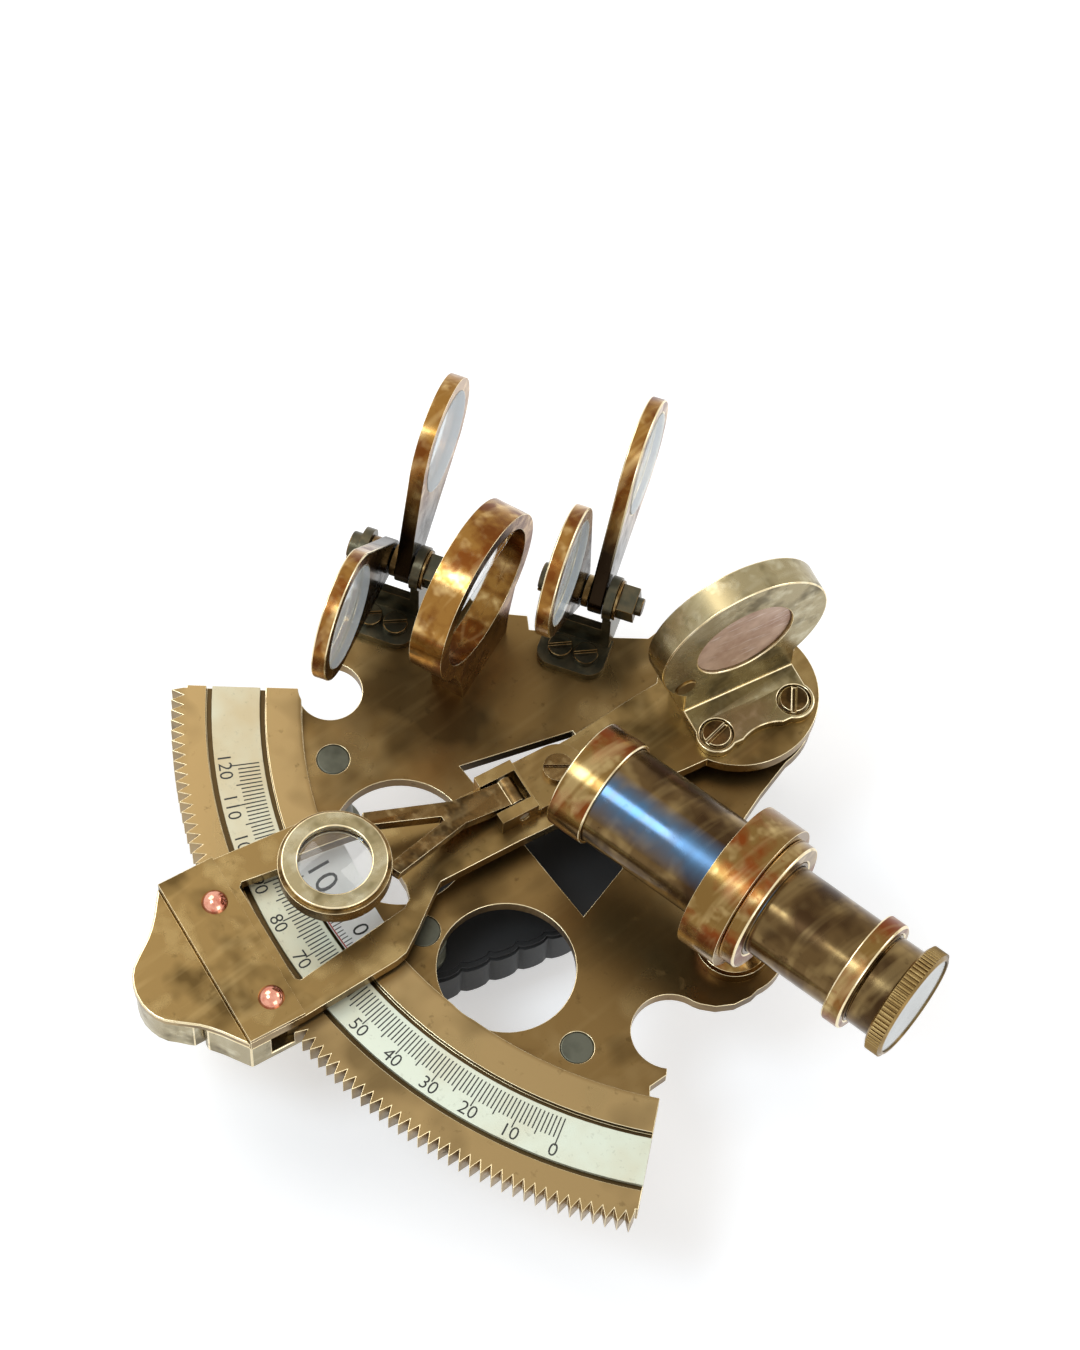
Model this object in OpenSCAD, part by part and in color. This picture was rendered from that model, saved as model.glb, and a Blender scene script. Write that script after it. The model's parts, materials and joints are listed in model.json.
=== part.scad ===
// Pocket sextant. Millimetres, +Z up, origin on the index axis at the resting plane.
// The limb lies towards -Y. Angles along the limb are measured from -Y towards +X.

/* [Frame] */
// Height of the three legs, from the table to the underside of the frame
leg_h = 20; // [16:0.5:26]
// Thickness of the open web of the frame
web_t = 2; // [1.6:0.1:2.6]
// Thickness of the limb
limb_t = 3.6; // [3.2:0.1:4.4]
// Radius at the bottom of the rack teeth
rack_root_r = 77.3; // [76.8:0.1:78]
// Radius at the points of the rack teeth
rack_tip_r = 79; // [78.6:0.1:79.4]
// Number of rack teeth that would fill the whole circle
rack_full_count = 310; // [300:2:320]
// Number of teeth cut on the limb
tooth_count = 69; // [67:2:71]
// Inner radius of the raised limb
limb_inner_r = 60.8; // [60:0.1:61.4]
// Radius of the two round windows in the web
round_window_r = 9.5; // [7:0.25:10]
// Radius of the rounded top of the frame
apex_r = 11; // [9:0.25:11.2]
// Radius of the round lug that carries the telescope
lobe_r = 7.1; // [6.4:0.1:8]
// Play round every fixed pin, screw and spigot
fit = 0.02; // [0.01:0.01:0.04]
// Play round every turning or sliding shaft
run = 0.05; // [0.03:0.01:0.08]

/* [Scale] */
// Inner radius of the silver scale strip
strip_inner_r = 66.6; // [66.2:0.1:66.9]
// Outer radius of the silver scale strip
strip_outer_r = 73.3; // [73:0.1:73.6]
// Thickness of the silver scale strip
strip_t = 0.7; // [0.5:0.1:1]

/* [Legs and handle] */
// Radius of the foot of a limb leg
leg_foot_r = 3.8; // [3:0.1:4.6]
// Radius of the spigots that show as flush discs in the web
spigot_r = 2.3; // [1.8:0.1:2.6]
// Outer radius of the apex leg
apex_leg_r = 6.7; // [6.4:0.1:7.4]
// Greatest width of the black grip
grip_w = 24; // [20:0.5:25]
// Width of the grip at its end by the limb
grip_nose_w = 7.8; // [7.4:0.1:9]
// Length of the black grip
grip_len = 46; // [42:1:48]
// Number of ribs along each flank of the grip
grip_ribs = 7; // [6:1:9]
// Gap between the frame and the grip
grip_gap = 5.6; // [5:0.1:7]

/* [Index arm] */
// Thickness of the index arm
arm_t = 2; // [1.6:0.1:2.4]
// Gap between the limb and the index arm
arm_gap = 0.8; // [0.7:0.05:1.2]
// Radius of the round head of the arm
head_r = 11.4; // [10.5:0.1:12]
// Half width of the narrow part of the arm
arm_half_w = 4.9; // [4.2:0.1:5.4]
// Half width of the window frame at its outer end
frame_half_w = 13.2; // [12:0.1:14]
// Radius of the arbor that carries the arm
arbor_r = 3; // [2.4:0.1:3.4]
// Length of the vernier plate inward from the silver scale
vernier_len = 7; // [6:0.2:8]
// Thickness of the vernier plate
vernier_t = 0.45; // [0.3:0.05:0.5]

/* [Rack clamp] */
// Distance from the index axis to the inner edge of the clamp
clamp_inner = 75.8; // [75.2:0.1:76.2]
// Distance from the index axis to the outer edge of the clamp
clamp_outer = 84.1; // [83.6:0.1:85]
// Distance from the index axis to the end of the thumb tail
tail_end = 94.3; // [93:0.1:96]
// Thickness of the clamp cover
cover_t = 0.8; // [0.5:0.1:1.2]
// Travel of the pawl between free and engaged
pawl_travel = 1.9; // [1.7:0.05:1.95]
// Radius of the copper rivet heads
rivet_r = 1.8; // [1.6:0.1:2.2]

/* [Magnifier] */
// Outer radius of the magnifier ring
loupe_r = 7.7; // [7.4:0.1:8.2]
// Radius of the magnifier glass that shows
loupe_glass_r = 5; // [4.4:0.1:5.2]
// Distance from the index axis to the middle of the glass
loupe_reach = 63.3; // [62:0.1:64.5]
// Height of the magnifier ring above the limb
loupe_h = 8.6; // [8:0.1:11]

/* [Mirrors] */
// Outer radius of both mirror rings
mirror_r = 12.7; // [12:0.1:13.2]
// Height of the mirror and telescope centres above the limb
sight_h = 17.8; // [17:0.1:19]
// Depth of the index mirror ring
index_ring_w = 4.4; // [4:0.1:5.4]
// Depth of the horizon mirror ring
horizon_ring_w = 5; // [4.4:0.1:5.6]
// Direction that the index mirror faces at rest, from +X
index_mirror_deg = -12; // [-16:1:-8]
// Direction that the horizon mirror faces, from +X
horizon_deg = 21.5; // [20:0.5:23]

/* [Shades] */
// Outer radius of a shade ring
shade_r = 9.2; // [8.8:0.1:9.6]
// Radius of the shade glass that shows
shade_glass_r = 7.35; // [7:0.05:7.6]
// Thickness of a shade ring
shade_w = 2.1; // [1.8:0.1:2.2]
// Distance from the bolt to the middle of a shade ring
shade_reach = 19.3; // [18.6:0.1:20]
// Radius of the shade bolts
shade_bolt_r = 1.3; // [1:0.05:1.5]
// Lean of shade 1 front from upright, forwards
shade_1_front_deg = 57; // [0:1:66]
// Lean of shade 1 back from upright, forwards
shade_1_back_deg = -38; // [-80:1:0]
// Lean of shade 2 front from upright, forwards
shade_2_front_deg = 24; // [0:1:60]
// Lean of shade 2 back from upright, forwards
shade_2_back_deg = -57; // [-80:1:0]

/* [Telescope] */
// Outer radius of the main tube
tube_r = 7.3; // [7:0.05:7.5]
// Wall of both tubes
tube_wall = 0.5; // [0.4:0.05:0.6]
// Outer radius of the mounting ring
scope_ring_r = 10.7; // [10:0.1:11.2]
// Width of the mounting ring
scope_ring_w = 5.8; // [5:0.1:6.4]
// Radius of the knurled eyepiece cap
eye_cap_r = 8.1; // [7.8:0.05:8.4]
// Number of grooves round the eyepiece cap
knurl_count = 48; // [36:4:60]

/* [Hidden] */
$fn = 64;
eps = 0.01;
cut = 1;

z_web = leg_h + web_t;
z_rim = leg_h + limb_t;
z_arm = z_rim + arm_gap;
z_arm_top = z_arm + arm_t;
z_sight = z_rim + sight_h;

tooth_deg = 360/rack_full_count;
limb_half_deg = tooth_count*tooth_deg/2;
// The arm rests over a gap between two teeth, seven and a half teeth left of the middle
arm_deg = -7.5*tooth_deg;
// Inset of the toothed band from the limb's ends, and its depth below the tooth roots
end_step = 0.3;
rack_bed = 1.2;

// Flush discs and the pieces under them
left_leg = [-28.3, -49.4];
right_leg = [26.2, -50.1];
front_post = [0, -55.7];
rear_post = [0, -16];
left_window = [-12.6, -49.9];
right_window = [11.2, -50.2];
left_notch = [-37, -43.2];
right_notch = [32.2, -38.7];
left_notch_r = 4.5;
right_notch_r = 5.4;

// Bearing, arbor and nut, from the top of the web down
bush_r = 5;
bush_len = 7;
thread_r = 2;
thrust_t = 0.6;
nut_h = 2.8;
nut_r = 4.3;
washer_t = 0.8;
// Height of the shoulder that the washer meets, and of the nut below it
shoulder_z = z_web - bush_len - 2*run;
nut_z = shoulder_z - washer_t - nut_h;

// Scale groove
groove_side = 0.8;
groove_depth = strip_t + 0.1;

// Telescope line: the objective end and the direction to the eyepiece
scope_start = [1.7, -30.2];
scope_deg = 13.2;
st_collar = 5.5;
st_ring = 24;
step_w = 2.3;
st_step = st_ring + scope_ring_w;
st_tube_end = st_step + step_w;
st_draw_start = 18;
st_draw_ring = 45.2;
draw_ring_w = 2.8;
st_neck = st_draw_ring + draw_ring_w;
barrel_len = 4;
cap_len = 2.6;
st_cap = st_neck + barrel_len;
st_end = st_cap + cap_len;
lip_t = 0.9;
lens_t = 1.8;
draw_r = tube_r - tube_wall - run;
neck_r = draw_r - tube_wall - run;
scope_post = scope_start + (st_ring + scope_ring_w/2)*[cos(scope_deg), sin(scope_deg)];
scope_base_r = 5.3;
scope_post_r = 2.85;
// Threaded length of the telescope screw in the post
scope_thread = 5;
// Gap between the draw tube and the shoulder of the eyepiece
neck_gap = 0.3;
// Bore behind the eye lens, the seat of the lens and the floor that it rests on
eye_bore_r = neck_r - 0.8;
eye_seat_r = eye_cap_r - 0.9 - fit;
eye_floor = 1;
// Width of one groove of the knurl
knurl_w = 0.4;

// Horizon mirror
horizon_pos = [-29.3, -24.4];
horizon_foot = 6.2;
horizon_glass_r = 9.6;
seat_lip = 0.8;
// Back of the glass seat along the mirror's axis, and half the gap between the two half glasses
horizon_seat_x = 1.2 - horizon_ring_w/2;
half_gap = 0.05;
horizon_thread = 4.6;

// Index mirror, in a frame that looks along its own face direction
index_face = -0.1;
index_foot_t = 1.4;
glass_seat = 3;
index_screw = [5, 6.1];
index_hole_r = 7.3;
index_head_r = 2;
rivet_low = 6.3;
rivet_side = -8.8;

// Shade brackets, in a frame with X along the bolt and Y outwards
shade_1_pos = [-43.25, -26.8];
shade_2_pos = [-22.95, -8.8];
shade_1_axis = 31;
shade_2_axis = 32;
bolt_h = 11;
z_bolt = z_web + bolt_h;
ear_t = 1.3;
ear_r = 3.2;
foot_t = 1.3;
foot_left = -5;
foot_right = 4.9;
foot_front = -7.8;
foot_screw_y = -4.8;
foot_screw_x = 1.9;
eye_r = 2.7;
side_gap = 0.2;
left_ear_x0 = -5;
front_x0 = -2.4;
back_x0 = 0.9;
right_ear_x0 = back_x0 + shade_w + side_gap;
nut_side = 4;
shade_nut_w = 2.4;
ring_washer_t = 0.5;
glass_t = 1.2;

// Magnifier, in the frame of the arm
loupe_x = -1.2;
loupe_screw_y = -28.4;
hinge_y = -36;
hinge_h = 1.7;
pin_r = 0.8;
bracket_t = 1.6;
bracket_front = -39.5;
bracket_half = 4;
lug_h = 3.1;
slot_half = 2.3;
loupe_t = 2.5;
retainer_t = 0.8;
z_loupe = z_rim + loupe_h;

// Clamp
clamp_wall = 81;
lip_gap = 0.3;
lip_plate = 1.5;
pawl_half = 5.9;
pawl_z0 = leg_h + 0.5;
pawl_h = 2.6;
tail_drop = 0.3;
tail_t = 1.3;
rivet_x = 8;
rivet_shift = 0.9;
rivet_y = -(clamp_inner + clamp_outer)/2 + 1.3;
// Undersides of the tail plate and of the lip below the rack
tail_z = z_arm_top - tail_drop - tail_t;
lip_z = leg_h - lip_gap - lip_plate;
// Gap between the pawl's moving tail and everything beside it
tail_gap = 0.3;
peg_r = 0.8;
peg_y = -89.6;
pocket_half = 1.7;
pocket_y0 = peg_y - peg_r - 0.3 - pawl_travel;
pocket_y1 = -85.6;
ear_x = 7;
ear_end = 88;
thumb_z = 18.4;

screw_r = 1.2;
screw_head_r = 2.3;
// Play round a sunk screw head, and the thread of a grip screw in its post
head_play = 0.2;
post_thread = 3;
screw_head_h = 1.1;
slot_w = 0.6;

// Helpers

// Point at radius r and limb angle a
function limb_pt(r, a) = [r*sin(a), -r*cos(a)];

// Points along an arc about c, from angle a0 to a1
function arc(c, r, a0, a1, n) = [for (i = [0:n]) c + r*[cos(a0 + (a1 - a0)*i/n), sin(a0 + (a1 - a0)*i/n)]];

// Mirror a list of points about the Y axis and reverse it
function mirrored(p) = [for (i = [len(p) - 1:-1:0]) [-p[i][0], p[i][1]]];

// Ring sector of the limb between two radii
module limb_sector(r0, r1, z0, h) {
    translate([0, 0, z0])
        rotate([0, 0, -90 - limb_half_deg])
            rotate_extrude(angle = 2*limb_half_deg, $fn = 180)
                translate([r0, 0]) square([r1 - r0, h]);
}

module at_arm() { rotate([0, 0, arm_deg]) children(); }

module at_scope(station = 0) {
    translate([scope_start[0], scope_start[1], z_sight])
        rotate([0, 0, scope_deg])
            rotate([0, 90, 0])
                translate([0, 0, station]) children();
}

// Bolt frame of a shade set: X along the bolt, Y outwards, Z up
module at_set(pos, axis) {
    translate([pos[0], pos[1], z_bolt]) rotate([0, 0, axis]) children();
}

module at_both_sets() {
    at_set(shade_1_pos, shade_1_axis) children();
    at_set(shade_2_pos, shade_2_axis) children();
}

module ring(r_out, r_in, h) {
    difference() {
        cylinder(r = r_out, h = h);
        translate([0, 0, -cut]) cylinder(r = r_in, h = h + 2*cut);
    }
}

// Cheese head screw that points down, with the underside of its head at z = 0
module screw(shank_len, head_r = screw_head_r, head_h = screw_head_h, shank_r = screw_r) {
    difference() {
        union() {
            cylinder(r = head_r, h = head_h, $fn = 32);
            translate([0, 0, -shank_len]) cylinder(r = shank_r, h = shank_len + eps, $fn = 32);
        }
        translate([-head_r - cut, -slot_w/2, head_h*0.45]) cube([2*head_r + 2*cut, slot_w, head_h]);
    }
}

// Frame body

web_points = concat(
    [[36.6, -46], [36.7, -43.2], [30.4, -37], [30.4, -33.7], [31.6, -33], [33.2, -31.6]],
    [[34.5, -29.4], [35, -26.8], [34.6, -23.8], [33, -20.6], [30, -18.4], [26, -17.6], [21.5, -17.6]],
    [[17.6, -16.4], [15.6, -13.8], [14.2, -10.7], [12.6, -6]],
    [[11, 0], [0, 8], [-11.5, 7.6], [-15.2, 4.8], [-16.2, 2.2], [-16, -2.6], [-19.4, -6.7]],
    [[-27.5, -15], [-29.4, -13.8], [-32, -16.5], [-38, -24.4], [-46.6, -29.6], [-47.4, -31]],
    [[-46.6, -36.4], [-44.8, -38.2], [-40.5, -38.6], [-38.6, -47.4]],
    arc([0, 0], limb_inner_r + 1, -90 - limb_half_deg + 1, -90 + limb_half_deg - 1, 40));

// Opening between the round windows and the apex, wider on the left
module web_window() {
    polygon([[-16.6, -36.2], [11.8, -37.2], [7.4, -20.4], [-11.2, -20.4]]);
}

// Angle of a rack corner, kept a little inside the two ends of the limb
function rack_deg(i) =
    max(end_step - limb_half_deg, min(limb_half_deg - end_step, i*tooth_deg - limb_half_deg));

module rack_teeth_2d() {
    inner = [for (i = [tooth_count:-1:0]) limb_pt(rack_root_r - rack_bed, rack_deg(i))];
    outer = [for (i = [0:2*tooth_count])
        limb_pt(i % 2 == 0 ? rack_root_r : rack_tip_r, rack_deg(i/2))];
    polygon(concat(outer, inner));
}

module shade_screw_places() {
    at_both_sets()
        for (s = [-1, 1]) translate([s*foot_screw_x, foot_screw_y, -bolt_h]) children();
}

module horizon_screw_places() {
    translate([horizon_pos[0], horizon_pos[1], leg_h])
        rotate([0, 0, horizon_deg])
            for (s = [-1, 1]) translate([0, s*3.4, 0]) children();
}

module frame_plate() {
    color("#8a7442") difference() {
        union() {
            translate([0, 0, leg_h]) linear_extrude(web_t) polygon(web_points);
            translate([0, 0, leg_h]) cylinder(r = apex_r, h = web_t);
            translate([scope_post[0], scope_post[1], leg_h]) cylinder(r = lobe_r, h = web_t);
            limb_sector(limb_inner_r, rack_root_r - 0.5, leg_h, limb_t);
            translate([0, 0, leg_h]) linear_extrude(limb_t) rack_teeth_2d();
        }
        translate([0, 0, z_rim - groove_depth])
            rotate([0, 0, -90 - limb_half_deg - 1])
                rotate_extrude(angle = 2*limb_half_deg + 2, $fn = 180)
                    translate([strip_inner_r - groove_side, 0])
                        square([strip_outer_r - strip_inner_r + 2*groove_side, limb_t]);
        for (p = [left_window, right_window])
            translate([p[0], p[1], leg_h - cut]) cylinder(r = round_window_r, h = limb_t + 2*cut);
        translate([left_notch[0], left_notch[1], leg_h - cut])
            cylinder(r = left_notch_r, h = limb_t + 2*cut);
        translate([right_notch[0], right_notch[1], leg_h - cut])
            cylinder(r = right_notch_r, h = limb_t + 2*cut);
        translate([0, 0, leg_h - cut]) linear_extrude(limb_t + 2*cut) web_window();
        for (p = [left_leg, right_leg, front_post, rear_post])
            translate([p[0], p[1], leg_h - cut]) cylinder(r = spigot_r + fit, h = limb_t + 2*cut);
        translate([0, 0, leg_h - cut]) cylinder(r = bush_r + fit, h = limb_t + 2*cut);
        translate([scope_post[0], scope_post[1], leg_h - cut])
            cylinder(r = screw_r + fit, h = limb_t + 2*cut);
        horizon_screw_places() translate([0, 0, -cut]) cylinder(r = screw_r + fit, h = limb_t + 2*cut);
        shade_screw_places() translate([0, 0, -web_t - cut]) cylinder(r = screw_r + fit, h = limb_t);
    }
}

module scale_arc() {
    color("#c9cbb8") limb_sector(strip_inner_r, strip_outer_r, z_rim - groove_depth, strip_t);
}

module limb_leg() {
    rotate_extrude() polygon([
        [0, 0], [leg_foot_r - 0.4, 0], [leg_foot_r, 0.5], [leg_foot_r, 2], [leg_foot_r - 1.1, 3],
        [leg_foot_r - 1.4, leg_h*0.5], [leg_foot_r - 1, leg_h - 4], [leg_foot_r - 0.2, leg_h - 3],
        [leg_foot_r - 0.2, leg_h], [spigot_r, leg_h], [spigot_r, z_web], [0, z_web]]);
}

module limb_legs() {
    color("#7d6a3c") for (p = [left_leg, right_leg]) translate([p[0], p[1], 0]) limb_leg();
}

module apex_leg() {
    floor_t = 3;
    color("#7d6a3c") difference() {
        rotate_extrude() polygon([
            [0, 0], [apex_leg_r - 1.2, 0], [apex_leg_r - 0.8, 0.5], [apex_leg_r - 0.8, 2.4],
            [apex_leg_r - 1.1, 3.2], [apex_leg_r - 0.9, leg_h - 5], [apex_leg_r, leg_h - 4],
            [apex_leg_r, leg_h], [0, leg_h]]);
        translate([0, 0, floor_t]) cylinder(r = bush_r + fit, h = leg_h);
    }
}

grip_z1 = leg_h - grip_gap;
grip_h = 8.4;
grip_z0 = grip_z1 - grip_h;
// Front and rear end of the grip, and the rounding of its top and bottom edges
grip_y0 = front_post[1] - 3.6;
grip_y1 = grip_y0 + grip_len;
grip_round = 0.9;
// The ribbed flank runs outwards from near the limb to the widest place
flank_start = [grip_nose_w/2, grip_y0 + 2.2];
flank_end = [grip_w/2, grip_y0 + 0.68*grip_len];
// Height of one rib of the flank
rib_h = 0.55;
// Height of the screw seats inside the grip
grip_seat_z = grip_z0 + 3;

// Right flank of the grip: a straight line with rounded ribs on it
function flank() = let(
    n = 6*grip_ribs,
    along = flank_end - flank_start,
    out = [along[1], -along[0]]/norm(along))
    [for (i = [0:n]) flank_start + along*i/n + out*rib_h*pow(abs(sin(180*grip_ribs*i/n)), 0.5)];

// Right half of the grip in plan, from the front end to the rear end
function grip_half() = concat(
    [[grip_nose_w/2 - 1.4, grip_y0]],
    flank(),
    [[grip_w/2, grip_y1 - 9], [grip_w/2 - 1.2, grip_y1 - 4.5], [grip_w/2 - 4, grip_y1 - 1.4]],
    [[grip_w/2 - 7, grip_y1]]);

// Plan of the grip, set in by m all round
function grip_plan(m) = let(
    middle = (grip_y0 + grip_y1)/2,
    side = [for (p = grip_half()) [p[0] - m, p[1] + m*(middle - p[1])/(middle - grip_y0)]])
    concat(side, mirrored(side));

// One layer of the grip, set in by m at the sides and at both ends of its height
module grip_slab(m, inset) {
    translate([0, 0, grip_z0 + m]) linear_extrude(grip_h - 2*m) polygon(grip_plan(inset));
}

module handle_grip() {
    color("#161616") difference() {
        union() {
            grip_slab(grip_round, 0);
            grip_slab(grip_round/3, grip_round/3);
            grip_slab(0, grip_round);
        }
        for (p = [front_post, rear_post]) translate([p[0], p[1], 0]) {
            cylinder(r = screw_r + fit, h = leg_h);
            cylinder(r = screw_head_r + head_play, h = grip_seat_z);
        }
    }
}

module handle_posts() {
    post_r = 3.2;
    waist_r = 2.4;
    color("#8a7442") for (p = [front_post, rear_post]) translate([p[0], p[1], 0])
        difference() {
            rotate_extrude() polygon([
                [0, grip_z1], [post_r, grip_z1], [post_r, grip_z1 + 1], [waist_r, grip_z1 + 1.8],
                [waist_r, leg_h - 1.8], [post_r, leg_h - 1], [post_r, leg_h], [spigot_r, leg_h],
                [spigot_r, z_web], [0, z_web]]);
            translate([0, 0, grip_z1 - cut]) cylinder(r = screw_r + fit, h = post_thread + 1 + cut);
        }
}

module handle_screws() {
    color("#6a5a34") for (p = [front_post, rear_post])
        translate([p[0], p[1], grip_seat_z]) mirror([0, 0, 1])
            screw(grip_z1 - grip_seat_z + post_thread);
}

module arbor_bearing() {
    color("#b08d3c") translate([0, 0, z_web - bush_len]) ring(bush_r, arbor_r + run, bush_len);
}

module thrust_washer() {
    color("#b08d3c") translate([0, 0, z_web]) ring(head_r - 3.6, arbor_r + run, thrust_t);
}

// Telescope

module scope_mount() {
    base_t = 2;
    cone_h = 1.4;
    color("#8f7440") difference() {
        union() {
            translate([scope_post[0], scope_post[1], z_web]) {
                cylinder(r = scope_base_r, h = base_t);
                translate([0, 0, base_t]) cylinder(r1 = scope_base_r - 0.6, r2 = scope_post_r, h = cone_h);
                cylinder(r = scope_post_r, h = z_sight - z_web - tube_r - 1);
            }
            at_scope(st_ring) cylinder(r = scope_ring_r, h = scope_ring_w);
        }
        at_scope(st_ring - cut) cylinder(r = tube_r + fit, h = scope_ring_w + 2*cut);
        translate([scope_post[0], scope_post[1], z_web - cut])
            cylinder(r = screw_r + fit, h = scope_thread + 1 + cut);
    }
}

module scope_mount_screw() {
    color("#6a5a34") translate([scope_post[0], scope_post[1], leg_h])
        mirror([0, 0, 1]) screw(web_t + scope_thread);
}

module main_tube() {
    color("#7b4a22") at_scope(lip_t) ring(tube_r, tube_r - tube_wall, st_tube_end - lip_t);
}

module objective_collar() {
    collar_r = tube_r + 0.6;
    mouth_r = tube_r - 1.3;
    color("#a9742e") at_scope() difference() {
        cylinder(r = collar_r, h = st_collar);
        translate([0, 0, lip_t]) cylinder(r = tube_r + fit, h = st_collar);
        translate([0, 0, -cut]) cylinder(r = mouth_r, h = st_collar);
    }
}

module objective_lens() {
    color("#bcd3dc") at_scope(lip_t) cylinder(r = tube_r - tube_wall - fit, h = lens_t);
}

module step_collar() {
    color("#a07a38") at_scope(st_step) ring(scope_ring_r - 1.2, tube_r + fit, step_w);
}

module draw_tube() {
    color("#7a5526") at_scope(st_draw_start) ring(draw_r, draw_r - tube_wall, st_neck - st_draw_start);
}

module draw_ring() {
    color("#a07a38") at_scope(st_draw_ring) ring(eye_cap_r, draw_r + fit, draw_ring_w);
}

module eyepiece_barrel() {
    spigot_len = 5;
    shoulder = st_neck + neck_gap;
    color("#7a5526") at_scope() difference() {
        union() {
            translate([0, 0, shoulder]) cylinder(r = draw_r - 0.15, h = st_cap - shoulder);
            translate([0, 0, st_neck - spigot_len]) cylinder(r = neck_r, h = spigot_len + neck_gap + eps);
        }
        translate([0, 0, st_neck - spigot_len - cut]) cylinder(r = eye_bore_r, h = 2*spigot_len + 2*cut);
    }
}

module eyepiece_cap() {
    color("#9c6f38") at_scope(st_cap) difference() {
        cylinder(r = eye_cap_r, h = st_end - st_cap);
        translate([0, 0, eye_floor]) cylinder(r = eye_seat_r + fit, h = st_end - st_cap);
        translate([0, 0, -cut]) cylinder(r = eye_bore_r, h = st_end - st_cap);
        for (i = [0:knurl_count - 1]) rotate([0, 0, i*360/knurl_count])
            translate([eye_cap_r + knurl_w/8, 0, -cut]) rotate([0, 0, 45])
                translate([-knurl_w/2, -knurl_w/2, 0]) cube([knurl_w, knurl_w, st_end - st_cap + 2*cut]);
    }
}

module eye_lens() {
    color("#dfe8ee") at_scope(st_cap + eye_floor)
        cylinder(r = eye_seat_r, h = st_end - st_cap - eye_floor - 0.2);
}

// Index arm body

window_outer = 74.5;
window_inner = 54.8;
// Right edge of the arm from the head to the clamp
arm_edge = [
    [7, -6], [6.6, -13], [5.4, -24], [arm_half_w, -38], [arm_half_w, 4.4 - window_inner],
    [arm_half_w + 1.6, 2.2 - window_inner], [arm_half_w + 4.6, -window_inner - 1.6],
    [frame_half_w - 1.4, -window_inner - 4.8], [frame_half_w - 1, -window_inner - 6.6],
    [frame_half_w, -clamp_inner], [frame_half_w, -clamp_outer]];

// Right edge of the reading window
window_edge = [
    [3.2, -window_inner], [5, -window_inner - 0.5], [5.9, -window_inner - 1.8], [8.3, -window_outer + 0.6],
    [7.7, -window_outer]];

// Places of the two rivets in the frame of the arm
module rivet_offsets() {
    for (s = [-1, 1]) translate([s*rivet_x + rivet_shift, rivet_y, 0]) children();
}

module index_arm() {
    color("#8d7642") at_arm() difference() {
        union() {
            translate([0, 0, z_arm]) cylinder(r = head_r, h = arm_t);
            translate([0, 0, z_arm])
                linear_extrude(arm_t) polygon(concat(arm_edge, mirrored(arm_edge)));
        }
        translate([0, 0, z_arm - cut])
            linear_extrude(arm_t + 2*cut) polygon(concat(window_edge, mirrored(window_edge)));
        translate([0, 0, z_arm - cut]) cylinder(r = arbor_r + fit, h = arm_t + 2*cut);
        translate([loupe_x, loupe_screw_y, z_arm - cut])
            cylinder(r = screw_r + fit, h = arm_t + 2*cut);
        rivet_offsets() translate([0, 0, z_arm - cut]) cylinder(r = screw_r + fit, h = arm_t + 2*cut);
        rotate([0, 0, index_mirror_deg - arm_deg]) for (s = [-1, 1])
            translate([index_screw[0], s*index_screw[1], z_arm - cut])
                cylinder(r = screw_r + fit, h = arm_t + 2*cut);
    }
}

module arbor() {
    flange_z = z_web + thrust_t + run;
    color("#b89a55") at_arm() {
        translate([0, 0, shoulder_z]) cylinder(r = arbor_r, h = z_arm_top - shoulder_z);
        translate([0, 0, flange_z]) cylinder(r = head_r - 4.4, h = z_arm - flange_z);
        translate([0, 0, nut_z - 1]) cylinder(r = thread_r, h = shoulder_z - nut_z + 1 + eps);
    }
}

module arbor_washer() {
    color("#8f8f88") at_arm() translate([0, 0, shoulder_z - washer_t])
        ring(nut_r, thread_r + fit, washer_t);
}

module arbor_nut() {
    color("#8f8f88") at_arm() translate([0, 0, nut_z])
        difference() {
            cylinder(r = nut_r, h = nut_h, $fn = 6);
            translate([0, 0, -cut]) cylinder(r = thread_r + fit, h = nut_h + 2*cut);
        }
}

module vernier_plate() {
    outer = strip_inner_r - 0.3;
    inner_y = vernier_len - strip_inner_r;
    half = 9.4;
    a = asin(half/outer);
    color("#f1efe6") at_arm() translate([0, 0, z_arm - vernier_t]) linear_extrude(vernier_t)
        polygon(concat(
            arc([0, 0], outer, -90 - a, -90 + a, 16),
            [[half - 1, inner_y], [1 - half, inner_y]]));
}

module rivet_places() {
    at_arm() rivet_offsets() children();
}

module clamp_cover() {
    color("#8d7642") difference() {
        at_arm() translate([-frame_half_w, -clamp_outer, z_arm_top])
            cube([2*frame_half_w, clamp_outer - clamp_inner, cover_t]);
        rivet_places() translate([0, 0, z_arm_top - cut]) cylinder(r = screw_r + fit, h = cover_t + 2*cut);
    }
}

// Cheeks of the clamp that carry the outline of the tail down beside the thumb piece
module cheeks_2d() {
    difference() {
        tail_2d();
        translate([-ear_x, -2*clamp_outer]) square([2*ear_x, 2*clamp_outer]);
        translate([-2*frame_half_w, -2*ear_end]) square([4*frame_half_w, ear_end]);
    }
}

module clamp_body() {
    color("#9b8550") difference() {
        at_arm() difference() {
            union() {
                translate([-frame_half_w, -clamp_outer, lip_z])
                    cube([2*frame_half_w, clamp_outer - clamp_inner, z_arm - lip_z]);
                translate([0, 0, lip_z])
                    linear_extrude(tail_z - lip_z) cheeks_2d();
            }
            translate([-frame_half_w - cut, -clamp_wall, lip_z + lip_plate])
                cube([2*frame_half_w + 2*cut, clamp_wall, z_arm]);
            translate([-pawl_half - run, -clamp_outer - cut, pawl_z0 - run])
                cube([2*pawl_half + 2*run, clamp_outer, pawl_h + 2*run]);
        }
        rivet_places() translate([0, 0, z_arm - cut]) cylinder(r = screw_r + fit, h = 2*cut);
    }
}

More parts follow.
